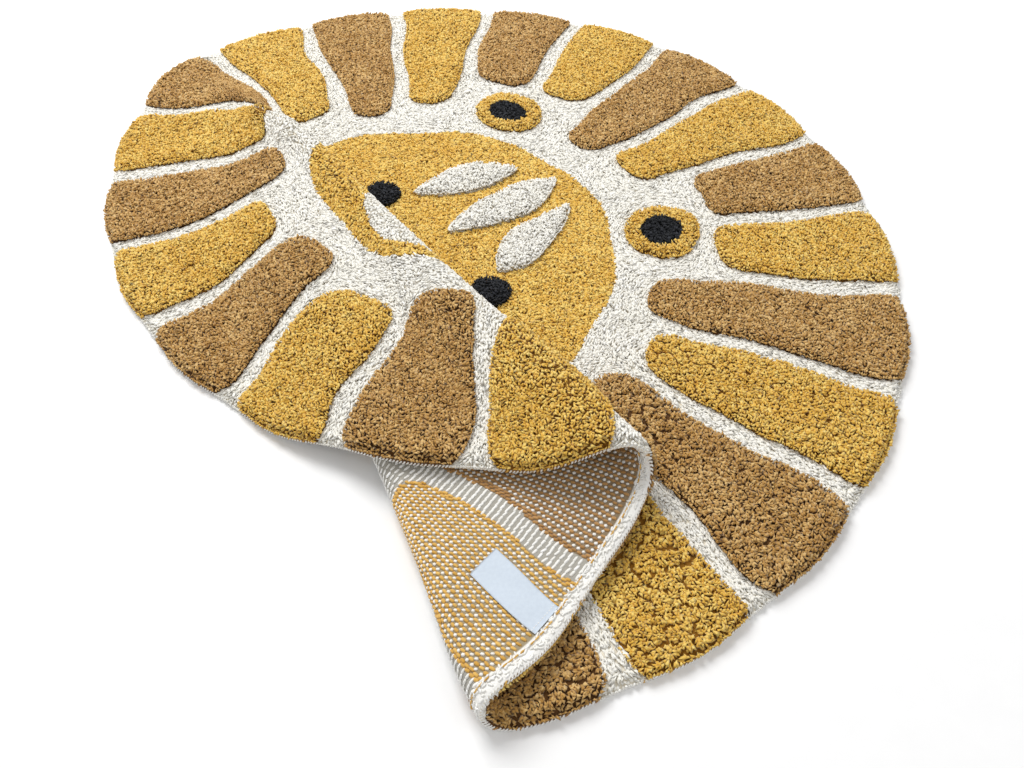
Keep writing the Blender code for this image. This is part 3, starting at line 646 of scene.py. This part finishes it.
def deepest(flat, motifs):
    return np.max([motif_depth(flat, motif) for motif in motifs], axis=0)


def motifs_of(*kinds):
    return [motif for motif in MOTIFS if motif[0] in kinds]


def raised_depth(flat):
    return np.maximum(ray_depth(flat), deepest(flat, MOTIFS))


def colour_depths(flat):
    """Depths inside the brown, mustard and charcoal shapes. What is inside none of them is cream."""
    rays = ray_depth(flat)
    even = np.floor(in_rays(flat)[0]).astype(int) % 2 == 0
    ears = deepest(flat, motifs_of("ear"))
    pale = np.maximum(deepest(flat, motifs_of("lock")), motif_depth(flat, MUZZLE))
    brown = np.where(even, rays, -0.5 * RAY_GAP)
    mustard = np.where(even, -0.5 * RAY_GAP, rays)
    mustard = np.maximum(np.maximum(mustard, ears), np.minimum(face_depth(flat), -pale))
    ear_centres = ears - (1.0 - EAR_CENTRE) * motifs_of("ear")[0][3]
    charcoal = np.maximum(deepest(flat, motifs_of("eye", "nose") + DOTS), ear_centres)
    return brown, mustard, charcoal


def colour_at(flat):
    """The yarn's colour at flat points."""
    brown, mustard, charcoal = colour_depths(flat)
    return np.select([charcoal > 0.0, brown > 0.0, mustard > 0.0], [CHARCOAL, BROWN, MUSTARD], CREAM)


def rim_share(flat):
    """What is left of the pile's height near the rim."""
    return RIM_SHARE + (1.0 - RIM_SHARE) * smooth(rim_depth(flat) / FLANK)


def skin_height(flat):
    """Height of the pile's top above the back of the cloth, as in the solid."""
    return (GROUND + RELIEF * smooth(raised_depth(flat) / FLANK)) * rim_share(flat)


def gradient(depth, flat):
    """How fast a depth grows along x and along y at flat points."""
    step = 0.25 * NORMAL_STEP
    return np.stack(changes(depth, flat, step), axis=1) / (2.0 * step)


def drawn_to(flat, depth, level):
    """Flat points moved straight to where the depth has this level."""
    for _ in range(DRAWN_ROUNDS):
        slope = gradient(depth, flat)
        square = np.maximum((slope**2).sum(axis=1), LEAST_SQUARE)
        flat = flat + slope * ((level - depth(flat)) / square)[:, None]
    return flat


# ---- Meshes


def add_object(name, data):
    made = bpy.data.objects.new(name, data)
    bpy.context.scene.collection.objects.link(made)
    return made


def add_piece(name, places, faces, material, slot, attributes=None):
    """A smooth piece that rides on the frame. Its faces are triangles."""
    places, faces = np.array(places, float), np.asarray(faces, int)
    places[:, 2] = np.maximum(places[:, 2], 0.0)
    mesh = bpy.data.meshes.new(name)
    mesh.vertices.add(len(places))
    mesh.vertices.foreach_set("co", places.ravel())
    mesh.loops.add(faces.size)
    mesh.loops.foreach_set("vertex_index", faces.ravel())
    mesh.polygons.add(len(faces))
    mesh.polygons.foreach_set("loop_start", np.arange(0, faces.size, 3))
    for label, values in (attributes or {}).items():
        kind, field = ("FLOAT", "value") if np.ndim(values) == 1 else ("FLOAT_VECTOR", "vector")
        mesh.attributes.new(label, kind, "POINT").data.foreach_set(field, np.ravel(values))
    mesh.update(calc_edges=True)
    mesh.shade_smooth()
    mesh.materials.append(material)
    piece = add_object(name, mesh)
    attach(piece, "root")
    return piece


def staggered(step):
    """Points over the whole disc in staggered rows."""
    points = []
    for number, y in enumerate(np.arange(-RUG_RADIUS, RUG_RADIUS, ROW_SHARE * step)):
        xs = np.arange(-RUG_RADIUS + 0.5 * step * (number % 2), RUG_RADIUS, step)
        points.append(np.column_stack([xs, np.full(len(xs), y)]))
    return np.concatenate(points)


def rim_line(step, outset=0.0):
    """Flat points along the rim, or outside it."""
    angles = np.linspace(0.0, FULL_TURN, int(FULL_TURN * RUG_RADIUS / step), endpoint=False)
    return (rim_radius(angles) + outset)[:, None] * pointing(angles)


def flat_disc(step):
    """The flat rug as triangles. The points along the rim come first."""
    rim = rim_line(RIM_STEP * step)
    filling = staggered(step)
    filling = filling[rim_depth(filling) > RIM_SPARE * step]
    points = [Vector(point) for point in np.vstack([rim, filling])]
    edges = [(i, (i + 1) % len(rim)) for i in range(len(rim))]
    vertices, _, triangles, _, _, _ = delaunay_2d_cdt(points, edges, [], INSIDE_EDGES, TINY)
    return len(rim), np.array([tuple(vertex) for vertex in vertices]), np.array(triangles)


def joined_rings(rings):
    """Faces between closed rings of points, given by their numbers, from the lowest up."""
    faces = []
    for low, high in zip(rings[:-1], rings[1:]):
        after_low, after_high = np.roll(low, -1), np.roll(high, -1)
        faces.append(np.column_stack([low, after_low, after_high]))
        faces.append(np.column_stack([low, after_high, high]))
    return faces


def add_cloth(pleat, material):
    """The cloth itself: its back, its rounded edge, and a front that lies a little below the pile's top."""
    around, flat, triangles = flat_disc(CLOTH_STEP)
    shows = GROUND_SHOWS + (RAISED_SHOWS - GROUND_SHOWS) * smooth(raised_depth(flat) / FLANK)
    top = np.minimum(skin_height(flat), pleat.headroom(flat)) - shows
    top = np.maximum(top, LEAST_CLOTH)
    count = len(flat)
    ring = np.arange(around)
    places = [pleat.backing(flat), pleat.place(flat, top)]
    flats = [flat, flat]
    rings = [ring]
    for outset, share in EDGE_BULGES:
        outside = rim_line(RIM_STEP * CLOTH_STEP, outset)
        rings.append(2 * count + around * (len(rings) - 1) + ring)
        places.append(pleat.place(outside, share * top[:around]))
        flats.append(outside)
    rings.append(count + ring)
    faces = [triangles[:, ::-1], triangles + count] + joined_rings(rings)
    flats = np.vstack(flats)
    front = (np.arange(len(flats)) >= count).astype(float)
    attributes = {
        "flat": np.column_stack([flats, np.zeros(len(flats))]),
        "depths": np.column_stack(colour_depths(flats)),
        "edge": rim_depth(flats),
        "front": front,
    }
    return add_piece("cloth", np.vstack(places), np.vstack(faces), material, "cotton_pile", attributes)


# ---- Pile


def drifting(flat, scale, seed):
    """Smooth random values in two channels, from about -1 to 1, that change over about the scale."""
    shift = Vector((0.0, 0.0, DRIFT_SHIFT * seed))
    values = [noise.noise_vector(Vector((x / scale, y / scale, 0.0)) + shift) for x, y in flat]
    return DRIFT_GAIN * np.array(values)[:, :2]


def clump_middles(flat, size):
    """Middle of the clump that each flat point belongs to: the nearest of a jittered grid's points."""
    nearest, least = flat.copy(), np.full(len(flat), np.inf)
    for across in (-1.0, 0.0, 1.0):
        for up in (-1.0, 0.0, 1.0):
            cell = np.floor(flat / size) + (across, up)
            mixed = np.sin(cell @ np.array(CLUMP_HASH)) * CLUMP_HASH_GAIN
            middle = (cell + mixed - np.floor(mixed)) * size
            distance = np.linalg.norm(middle - flat, axis=1)
            closer = distance < least
            nearest[closer], least[closer] = middle[closer], distance[closer]
    return nearest


def strand_places(kind, draw):
    """Flat places of the strands of one kind, before the hidden ones are left out."""
    pitch = PILES[kind][0]
    flat = staggered(pitch)
    flat = flat + draw.uniform(-JITTER, JITTER, flat.shape) * pitch
    raised, rim = raised_depth(flat), rim_depth(flat)
    if kind == "rim":
        return drawn_to(flat[np.abs(rim) < 0.5 * pitch], rim_depth, SIDE_INSET)
    flat, raised = flat[rim > SIDE_INSET], raised[rim > SIDE_INSET]
    if kind == "raised":
        return flat[raised > SIDE_INSET]
    if kind == "ground":
        return flat[raised < 0.0]
    return drawn_to(flat[np.abs(raised) < 0.5 * pitch], raised_depth, SIDE_INSET)


def full_height(flat):
    """Height of the pile above the backing, where nothing presses on it."""
    raised = raised_depth(flat)
    crest = GROUND + RELIEF * (1.0 - CREST_DROP * (1.0 - smooth(raised / CREST_ROUNDING)))
    return np.where(raised > 0.0, crest, GROUND) * rim_share(flat)


def leaning(kind, flat):
    """How far the tips lean along x and y, and how far each strand is from its clump's middle."""
    size, gather = PILES[kind][5:]
    inwards = clump_middles(flat, size) - flat
    outlying = np.linalg.norm(inwards, axis=1)[:, None] / (CLUMP_REACH * size)
    apart = np.linalg.norm(flat - LOOSE_PLACE, axis=1)[:, None]
    looseness = LOOSENESS[0] + LOOSENESS[1] * np.exp(-((apart / LOOSE_REACH) ** 2))
    patches = drifting(flat, LOOSE_DRIFT[0], 3)[:, :1]
    looseness = looseness * np.clip(1.0 + LOOSE_DRIFT[1] * patches, *LOOSE_LIMITS)
    lean = gather * looseness * outlying * inwards + LEAN_DRIFT[1] * drifting(flat, LEAN_DRIFT[0], 2)
    if kind in ("side", "rim"):
        lean -= SIDE_LEAN * gradient(rim_depth if kind == "rim" else raised_depth, flat)
    return lean, (looseness * outlying**2)[:, 0]


def curls(kind, flat, draw):
    """The long and the short half axis of each strand's belly, as shares of its radius."""
    laid = (kind == "ground") & (face_depth(flat) < 0.0)
    outline = gradient(raised_depth, flat)
    drift = drifting(flat, CURL_DRIFT, 5)
    heading = np.where(laid, np.arctan2(outline[:, 0], -outline[:, 1]), np.arctan2(drift[:, 1], drift[:, 0]))
    along = pointing(heading + draw.normal(0.0, CURL_SCATTER, len(flat)))
    axes = np.where(laid[:, None], np.array(LAID_CURL), np.array(CURL))
    return axes[:, :1] * along, axes[:, 1:] * np.stack([-along[:, 1], along[:, 0]], axis=1)


def strands(pleat, kind, flat, draw):
    """Places, faces and attributes of strands that have a root, a belly and a tip."""
    _, radius, head, stray, uneven = PILES[kind][:5]
    total = len(flat)
    lean, outlying = leaning(kind, flat)
    height = np.minimum(full_height(flat), pleat.headroom(flat)) - CLUMP_DROP * outlying
    height = height + draw.normal(0.0, uneven, total) + STRAY_RISE * (draw.random(total) < STRAY_ENDS)
    foot = np.maximum(height - STRAND, LEAST_FOOT)
    belly = np.maximum(height - head * draw.uniform(*HEAD_SPREAD, total), 0.5 * (foot + height))
    base, along_x, along_y, stand = pleat.frame(flat)

    def at(level, offset):
        return base + stand * level[:, None] + along_x * offset[:, :1] + along_y * offset[:, 1:]

    astray = draw.normal(0.0, 1.0, (total, 2))
    size = radius * draw.uniform(*BELLY_SPREAD, total)
    spin = draw.uniform(0.0, FULL_TURN, total)
    long_way, short_way = curls(kind, flat, draw)
    places = [at(foot, 0.0 * lean)]
    for corner in range(3):
        around = spin + FULL_TURN * corner / 3.0
        uneven_size = size * draw.uniform(*BELLY_SPREAD, total)
        ring = np.cos(around)[:, None] * long_way + np.sin(around)[:, None] * short_way
        level = belly + BELLY_SCATTER * radius * draw.normal(size=total)
        places.append(at(level, BELLY_LEAN * lean + uneven_size[:, None] * ring))
    places = np.stack(places + [at(height, lean + stray * astray)], axis=1)
    pattern = [(0, 2, 1), (0, 3, 2), (0, 1, 3), (1, 2, 4), (2, 3, 4), (3, 1, 4)]
    faces = 5 * np.arange(total)[:, None, None] + np.array(pattern)
    tone = np.clip(0.5 + TONE_SPREAD * draw.normal(size=total), 0.0, 1.0)
    # Strands along outlines and the rim carry less painted shade at their roots.
    rises = (SIDE_ROOT, *RISES[1:]) if kind in ("side", "rim") else RISES
    attributes = {"rise": np.tile(rises, total), "tone": np.repeat(tone, 5)}
    return places.reshape(-1, 3), faces.reshape(-1, 3), attributes


def add_pile(pleat, materials):
    draw = np.random.default_rng(11)
    for kind in PILES:
        flat = strand_places(kind, draw)
        flat = flat[pleat.pile_shows(flat)]
        colours = colour_at(flat)
        flap = pleat.on_flap(flat)
        for colour in YARNS:
            for part, chosen in (("floor", ~flap), ("flap", flap)):
                group = flat[(colours == colour) & chosen]
                if len(group):
                    places, faces, attributes = strands(pleat, kind, group, draw)
                    name = f"pile_{kind}_{colour}_{part}"
                    add_piece(name, places, faces, materials[colour], "cotton_pile", attributes)


# ---- Stitches and the label


LUMP_CORNERS = 10  # two rings of four and the two ends


def lumps(middle, long, side, up):
    """Places and faces of long lumps with four sides, given the middle and the half axes of each."""
    places = []
    for along in (-0.5, 0.5):
        for around_side, around_up in ((1.0, 0.0), (0.0, 1.0), (-1.0, 0.0), (0.0, -1.0)):
            places.append(middle + along * long + around_side * side + around_up * up)
    places = np.stack(places + [middle - long, middle + long], axis=1)
    rings = np.arange(8).reshape(2, 4)
    pattern = joined_rings(rings)
    pattern.append(np.column_stack([np.full(4, 8), np.roll(rings[0], -1), rings[0]]))
    pattern.append(np.column_stack([np.full(4, 9), rings[1], np.roll(rings[1], -1)]))
    faces = LUMP_CORNERS * np.arange(len(middle))[:, None, None] + np.vstack(pattern)
    return places.reshape(-1, 3), faces.reshape(-1, 3)


def stitch_shapes(pleat, flat, turn, length, width, height, level):
    """Lumps for stitches that lie on the backing's outer side, at a level above the backing."""
    base, along_x, along_y, stand = pleat.frame(flat)
    long = along_x * np.cos(turn)[:, None] + along_y * np.sin(turn)[:, None]
    long *= np.reshape(length, (-1, 1))
    up = -stand * np.reshape(height, (-1, 1))
    side = np.cross(up, long)
    side *= np.reshape(width, (-1, 1)) / np.linalg.norm(side, axis=1)[:, None]
    return lumps(base + stand * np.reshape(level, (-1, 1)), long, side, up)


def add_stitches(name, shapes, brown, mustard, draw, material, slot="cotton_pile"):
    """A piece of lumps that are dyed brown or mustard where these are 1."""
    tone = np.clip(0.5 + STITCH_TONE_SPREAD * draw.normal(size=len(brown)), 0.0, 1.0)
    values = {"brown": brown, "mustard": mustard, "tone": tone}
    attributes = {label: np.repeat(np.asarray(value, float), LUMP_CORNERS) for label, value in values.items()}
    add_piece(name, *shapes, material, slot, attributes)


def stitch_places():
    """Flat places of the stitches, their angles about the rug's centre, and whether their columns are odd."""
    flats, angles, odd = [], [], []
    for depth in np.arange(HEM, BACK_DEPTH, STITCH_ROW):
        middle = RUG_RADIUS - SCALLOP - depth
        count = STITCH_COLUMNS // (1 if middle > THINNED_RADIUS else 2)
        column = np.arange(count)
        angle = FULL_TURN * column / count
        radius = middle - 0.5 * STITCH_ROW * (column % 2)
        flats.append(radius[:, None] * pointing(angle))
        angles.append(angle)
        odd.append(column % 2 == 1)
    return np.concatenate(flats), np.concatenate(angles), np.concatenate(odd)


def add_back_stitches(pleat, material):
    """Cords along the rim on the plain ground, and dyed and pale stitches by turns behind the rays."""
    draw = np.random.default_rng(5)
    flat, angle, odd = stitch_places()
    brown, mustard, _ = colour_depths(flat)
    depth = np.maximum(brown, mustard)
    shows = pleat.back_shows(flat) & ((depth > 0.0) | ~odd)
    flat, angle, odd = flat[shows], angle[shows], odd[shows]
    brown, mustard, depth = brown[shows], mustard[shows], depth[shows]
    flat = flat + draw.normal(0.0, STITCH_SCATTER, flat.shape)
    dyed = (depth > 0.0) & (~odd | (depth < OUTLINE_STITCHES))
    pale = (depth > 0.0) & ~dyed
    choices = [np.array(DYED_STITCH), np.array(PALE_STITCH)]
    length, width, slant = np.select([dyed[:, None], pale[:, None]], choices, np.array(GROUND_STITCH)).T
    turn = angle + 0.5 * math.pi + np.radians(slant) + draw.normal(0.0, SLANT_SCATTER, len(flat))
    length = length * draw.uniform(*STITCH_LENGTHS, len(flat))
    width = width * draw.uniform(*STITCH_WIDTHS, len(flat))
    shapes = stitch_shapes(pleat, flat, turn, length, width, STITCH_HEIGHT, -STITCH_SINK)
    add_stitches("back_stitches", shapes, dyed & (brown > 0.0), dyed & (mustard > 0.0), draw, material)


def add_hem_fluff(pleat, material):
    """Loose yarn on the hem's band, and the thin dyed line that runs along it."""
    draw = np.random.default_rng(6)
    angle = np.arange(0.0, FULL_TURN, FLUFF_PITCH / RUG_RADIUS)
    line = np.arange(len(angle)) % LINE_EVERY == 0
    depth = np.where(line, HEM - LINE_INSET, draw.uniform(*FLUFF_DEPTHS, len(angle)))
    flat = (rim_radius(angle) - depth)[:, None] * pointing(angle)
    shows = pleat.back_shows(flat)
    flat, angle, line = flat[shows], angle[shows], line[shows]
    turn = angle + 0.5 * math.pi + np.where(line, 0.0, draw.normal(0.0, FLUFF_SCATTER, len(flat)))
    total = len(flat)
    length, width, level = (np.where(line, even, draw.uniform(*loose, total)) for even, loose in HEM_YARNS)
    shapes = stitch_shapes(pleat, flat, turn, length, width, FLUFF_HEIGHT, -level)
    mustard = line & (draw.random(len(flat)) < LINE_DYED)
    add_stitches("hem_yarn", shapes, np.zeros(len(flat)), mustard, draw, material)


def add_overcast_edge(pleat, material):
    """The sewn edge: slanting stitches wound over the rim, all round."""
    draw = np.random.default_rng(7)
    flat = rim_line(EDGE_STITCH_PITCH, EDGE_OUTSET)
    angle = np.arctan2(flat[:, 1], flat[:, 0])
    length, width, slant = EDGE_STITCH
    base, along_x, along_y, stand = pleat.frame(flat)
    tangent = along_y * np.cos(angle)[:, None] - along_x * np.sin(angle)[:, None]
    tilt = math.radians(slant)
    long = length * (tangent * math.cos(tilt) + stand * math.sin(tilt))
    out = along_x * np.cos(angle)[:, None] + along_y * np.sin(angle)[:, None]
    middle = base + stand * (EDGE_STITCH_HEIGHT + draw.normal(0.0, EDGE_SCATTER, len(flat)))[:, None]
    across = np.cross(long, out)
    across *= width / np.linalg.norm(across, axis=1)[:, None]
    shapes = lumps(middle, long, out * width, across)
    brown, mustard, _ = colour_depths(flat * EDGE_LOOK)
    dyed = draw.random(len(flat)) < EDGE_DYED
    add_stitches("overcast_edge", shapes, dyed & (brown > 0.0), dyed & (mustard > 0.0), draw, material)


def on_label(out, side):
    """Flat points given by how far they lie out along the label and across it."""
    ways = direction(LABEL_HEADING), direction(LABEL_HEADING + 90.0)
    return LABEL_CENTRE + out[:, None] * ways[0] + side[:, None] * ways[1]


def add_label(pleat, material):
    """The blank label: a thin closed strip that waves a little on the backing."""
    rows = int(LABEL_LENGTH / LABEL_STEP) + 1
    columns = int(LABEL_WIDTH / LABEL_STEP) + 1
    outs = np.linspace(0.5 * LABEL_LENGTH, -0.5 * LABEL_LENGTH, rows)
    sides = np.linspace(-0.5 * LABEL_WIDTH, 0.5 * LABEL_WIDTH, columns)
    out, side = (grid.ravel() for grid in np.meshgrid(outs, sides, indexing="ij"))
    flat = on_label(out, side)
    along, slanting, across, phase = LABEL_RIPPLES
    wave = LABEL_WAVE * (1.0 + np.sin(along * out + slanting * side) * np.sin(across * side + phase))
    held = smooth((0.5 * LABEL_LENGTH - out) / LABEL_HELD)
    level = -LABEL_GAP - LABEL_THICKNESS - wave * held
    count = rows * columns
    numbers = np.arange(count).reshape(rows, columns)
    corner, beside = numbers[:-1, :-1].ravel(), numbers[:-1, 1:].ravel()
    below, across_from = numbers[1:, :-1].ravel(), numbers[1:, 1:].ravel()
    halves = ([corner, beside, below], [beside, across_from, below])
    triangles = np.vstack([np.column_stack(half) for half in halves])
    ring = np.concatenate([numbers[:-1, 0], numbers[-1, :-1], numbers[1:, -1][::-1], numbers[0, 1:][::-1]])
    places = np.vstack([pleat.place(flat, level), pleat.place(flat, level + LABEL_THICKNESS)])
    faces = [triangles[:, ::-1], triangles + count] + joined_rings([ring, ring + count])
    weave = {"flat": np.tile(np.column_stack([out, side, np.zeros(count)]), (2, 1))}
    return add_piece("label", places, np.vstack(faces), material, "label_tape", weave)


def add_label_seam(pleat, material):
    draw = np.random.default_rng(8)
    side = np.arange(-0.5 * LABEL_WIDTH + LABEL_STEP, 0.5 * LABEL_WIDTH, SEAM_PITCH)
    out = np.full(len(side), 0.5 * LABEL_LENGTH - SEAM_INSET)
    flat = on_label(out, side)
    turn = np.full(len(flat), math.radians(LABEL_HEADING + 90.0))
    level = np.full(len(flat), -LABEL_GAP - LABEL_THICKNESS)
    shapes = stitch_shapes(pleat, flat, turn, *SEAM_STITCH, level)
    undyed = np.zeros(len(flat))
    add_stitches("label_seam", shapes, undyed, undyed, draw, material, "label_tape")


# ---- Materials


def linear(red, green, blue):
    """A colour given in 0 to 255 as it looks, in linear light."""
    values = [v / 255.0 for v in (red, green, blue)]
    return tuple(v / 12.92 if v <= 0.04045 else ((v + 0.055) / 1.055) ** 2.4 for v in values) + (1.0,)


class Nodes:
    """A short way of writing a material's nodes."""

    def __init__(self, name, roughness, sheen):
        self.material = bpy.data.materials.new(name)
        self.material.use_nodes = True
        self.tree = self.material.node_tree
        self.shader = self.tree.nodes["Principled BSDF"]
        self.shader.inputs["Roughness"].default_value = roughness
        self.shader.inputs["Sheen Weight"].default_value = sheen
        self.shader.inputs["Sheen Roughness"].default_value = 0.6
        self.shader.inputs["Specular IOR Level"].default_value = 0.2

    def set(self, socket, value):
        """Links a socket to another node's output, or gives it a plain value."""
        if isinstance(value, bpy.types.NodeSocket):
            self.tree.links.new(value, socket)
        else:
            socket.default_value = value

    def fill(self, node, values):
        for socket, value in values.items():
            self.set(node.inputs[socket], value)
        return node

    def add(self, kind, values=None):
        return self.fill(self.tree.nodes.new("ShaderNode" + kind), values or {})

    def attribute(self, name, output="Fac"):
        node = self.add("Attribute")
        node.attribute_name = name
        return node.outputs[output]

    def places(self):
        return self.add("TexCoord").outputs["Object"]

    def noise(self, vector, scale, detail=2.0):
        return self.add("TexNoise", {"Vector": vector, "Scale": scale, "Detail": detail}).outputs["Fac"]

    def math(self, operation, *values):
        node = self.add("Math", dict(enumerate(values)))
        node.operation = operation
        return node.outputs[0]

    def parts(self, vector):
        return self.add("SeparateXYZ", {0: vector}).outputs

    def between(self, value, low, high):
        """0 below low, 1 above high, and smooth in between."""
        node = self.add("MapRange", {"Value": value, "From Min": low, "From Max": high})
        node.interpolation_type = "SMOOTHSTEP"
        return node.outputs["Result"]

    def mix(self, share, first, second):
        node = self.add("Mix")
        node.data_type = "RGBA"
        return self.fill(node, {"Factor": share, "A": first, "B": second}).outputs["Result"]

    def bump(self, height, strength, distance):
        node = self.add("Bump", {"Height": height, "Strength": strength, "Distance": distance})
        self.set(self.shader.inputs["Normal"], node.outputs["Normal"])

    def finish(self, colour):
        self.set(self.shader.inputs["Base Color"], colour)
        return self.material


# One row for each yarn: the colour painted at its roots as the shade deep in the pile, its body, and its
# bleached tips.
YARNS = {
    BROWN: ((90, 58, 20), (186, 140, 68), (228, 190, 122)),
    MUSTARD: ((134, 90, 14), (229, 181, 68), (249, 217, 118)),
    CREAM: ((229, 221, 204), (247, 244, 234), (253, 251, 245)),
    CHARCOAL: ((10, 10, 12), (27, 29, 32), (52, 54, 60)),
}

# The undyed, brown and mustard stitches of the back, each from its darkest to its palest.
STITCH_YARNS = (
    ((240, 238, 231), (254, 253, 250)),
    ((164, 120, 66), (196, 150, 92)),
    ((208, 158, 66), (232, 188, 100)),
)


def pile_material(colour):
    # The root colour is painted shade: each strand darkens towards its foot, where the pile shades itself.
    root, body, tip = (linear(*row) for row in YARNS[colour])
    nodes = Nodes(f"{colour}_pile", roughness=0.95, sheen=0.05 if colour == CHARCOAL else 0.25)
    places = nodes.places()
    rise = nodes.between(nodes.attribute("rise"), low=0.05, high=0.85)
    patches = nodes.noise(places, scale=22.0, detail=3.0)
    bright = nodes.math("ADD", nodes.attribute("tone"), nodes.math("SUBTRACT", patches, 0.5))
    yarn = nodes.mix(nodes.between(bright, low=0.15, high=1.1), body, tip)
    nodes.bump(nodes.noise(places, scale=900.0), strength=0.5, distance=0.0008)
    # The rise fades each strand from the painted shade at its root up to its yarn's colour.
    return nodes.finish(nodes.mix(rise, root, yarn))


def cloth_material():
    """The woven ground. Its front shows the yarns' roots in colours that are painted shade deep in the pile,
    and its back is painted grey as the shade in the gaps between stitches.
    """
    nodes = Nodes("cotton_cloth", roughness=0.95, sheen=0.15)
    channels = nodes.parts(nodes.attribute("depths", "Vector"))
    # The front's root colours are painted shade deep in the pile; the back's grey is painted shade between
    # the white stitches.
    back, root_shade = linear(168, 164, 154), linear(*YARNS[CREAM][0])
    # Painted shade in the back's gaps behind the brown, mustard and charcoal shapes, tinted by their dyed
    # yarn.
    back_gap_shades = (linear(140, 122, 96), linear(160, 146, 118), linear(60, 60, 64))
    for output, yarn, behind in zip(channels, (BROWN, MUSTARD, CHARCOAL), back_gap_shades):
        inside = nodes.between(output, low=-0.0004, high=0.0004)
        back = nodes.mix(inside, back, behind)
        root_shade = nodes.mix(inside, root_shade, linear(*YARNS[yarn][0]))
    hem = nodes.between(nodes.attribute("edge"), low=HEM + 0.001, high=HEM - 0.001)
    back = nodes.mix(hem, back, linear(250, 248, 243))
    fibres = nodes.noise(nodes.attribute("flat", "Vector"), scale=500.0, detail=3.0)
    nodes.bump(fibres, strength=0.6, distance=0.0012)
    # The front is painted with the shade deep in the pile, the back with the shade between stitches, except
    # on the hem's band.
    return nodes.finish(nodes.mix(nodes.attribute("front"), back, root_shade))


def stitch_material():
    nodes = Nodes("stitch_yarn", roughness=0.9, sheen=0.2)
    yarns = []
    for dark, pale in STITCH_YARNS:
        yarns.append(nodes.mix(nodes.attribute("tone"), linear(*dark), linear(*pale)))
    colour, brown, mustard = yarns
    colour = nodes.mix(nodes.attribute("brown"), colour, brown)
    colour = nodes.mix(nodes.attribute("mustard"), colour, mustard)
    nodes.bump(nodes.noise(nodes.places(), scale=1100.0), strength=0.5, distance=0.0006)
    return nodes.finish(colour)


def label_material():
    """Smooth tape with fine threads across and along."""
    nodes = Nodes("woven_tape", roughness=0.55, sheen=0.1)
    out, side, _ = nodes.parts(nodes.attribute("flat", "Vector"))
    threads = [nodes.math("SINE", nodes.math("MULTIPLY", value, LABEL_THREADS)) for value in (out, side)]
    nodes.bump(nodes.math("MULTIPLY", *threads), strength=0.35, distance=0.0002)
    slub = nodes.noise(nodes.attribute("flat", "Vector"), scale=260.0)
    return nodes.finish(nodes.mix(slub, linear(200, 211, 224), linear(216, 227, 238)))


def floor_material():
    nodes = Nodes("pale_floor", roughness=0.6, sheen=0.0)
    speckle = nodes.noise(nodes.places(), scale=40.0, detail=4.0)
    return nodes.finish(nodes.mix(speckle, linear(246, 246, 246), linear(250, 250, 250)))


# ---- Floor, camera and lights


def add_floor():
    mesh = bpy.data.meshes.new("floor")
    far = FLOOR_REACH
    corners = [(-far, -far, 0.0), (far, -far, 0.0), (far, far, 0.0), (-far, far, 0.0)]
    mesh.from_pydata(corners, [], [(0, 1, 2, 3)])
    mesh.materials.append(floor_material())
    floor = add_object("floor", mesh)


def add_camera():
    camera = add_object("camera", bpy.data.cameras.new("camera"))
    camera.data.lens = CAMERA_LENS
    tilt = Matrix.Rotation(math.radians(CAMERA_TILT), 4, "X")
    roll = Matrix.Rotation(math.radians(CAMERA_ROLL), 4, "Z")
    camera.matrix_world = Matrix.Translation(CAMERA_PLACE) @ tilt @ roll
    bpy.context.scene.camera = camera


def add_light(name, place, size, power):
    """A square lamp that faces the rug's middle."""
    light = bpy.data.lights.new(name, "AREA")
    light.energy = power
    light.size = size
    facing = (-Vector(place)).to_track_quat("-Z", "Y").to_matrix().to_4x4()
    add_object(name, light).matrix_world = Matrix.Translation(place) @ facing


def add_lights():
    world = bpy.data.worlds.new("studio")
    world.use_nodes = True
    sky = world.node_tree.nodes["Background"].inputs
    sky["Color"].default_value = (1.0, 1.0, 1.0, 1.0)
    sky["Strength"].default_value = WORLD_LIGHT
    bpy.context.scene.world = world
    for name, (place, size, power) in LAMPS.items():
        add_light(name, place, size, power)
    bpy.context.scene.view_settings.view_transform = "Standard"


def main():
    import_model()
    noise.seed_set(NOISE_SEED)
    pleat = Pleat()
    materials = {colour: pile_material(colour) for colour in YARNS}
    yarn = stitch_material()
    cloth = add_cloth(pleat, cloth_material())
    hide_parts("rug")
    add_pile(pleat, materials)
    add_back_stitches(pleat, yarn)
    add_hem_fluff(pleat, yarn)
    add_overcast_edge(pleat, yarn)
    label = add_label(pleat, label_material())
    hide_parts("care_label")
    add_label_seam(pleat, yarn)
    add_floor()
    add_camera()
    add_lights()


main()
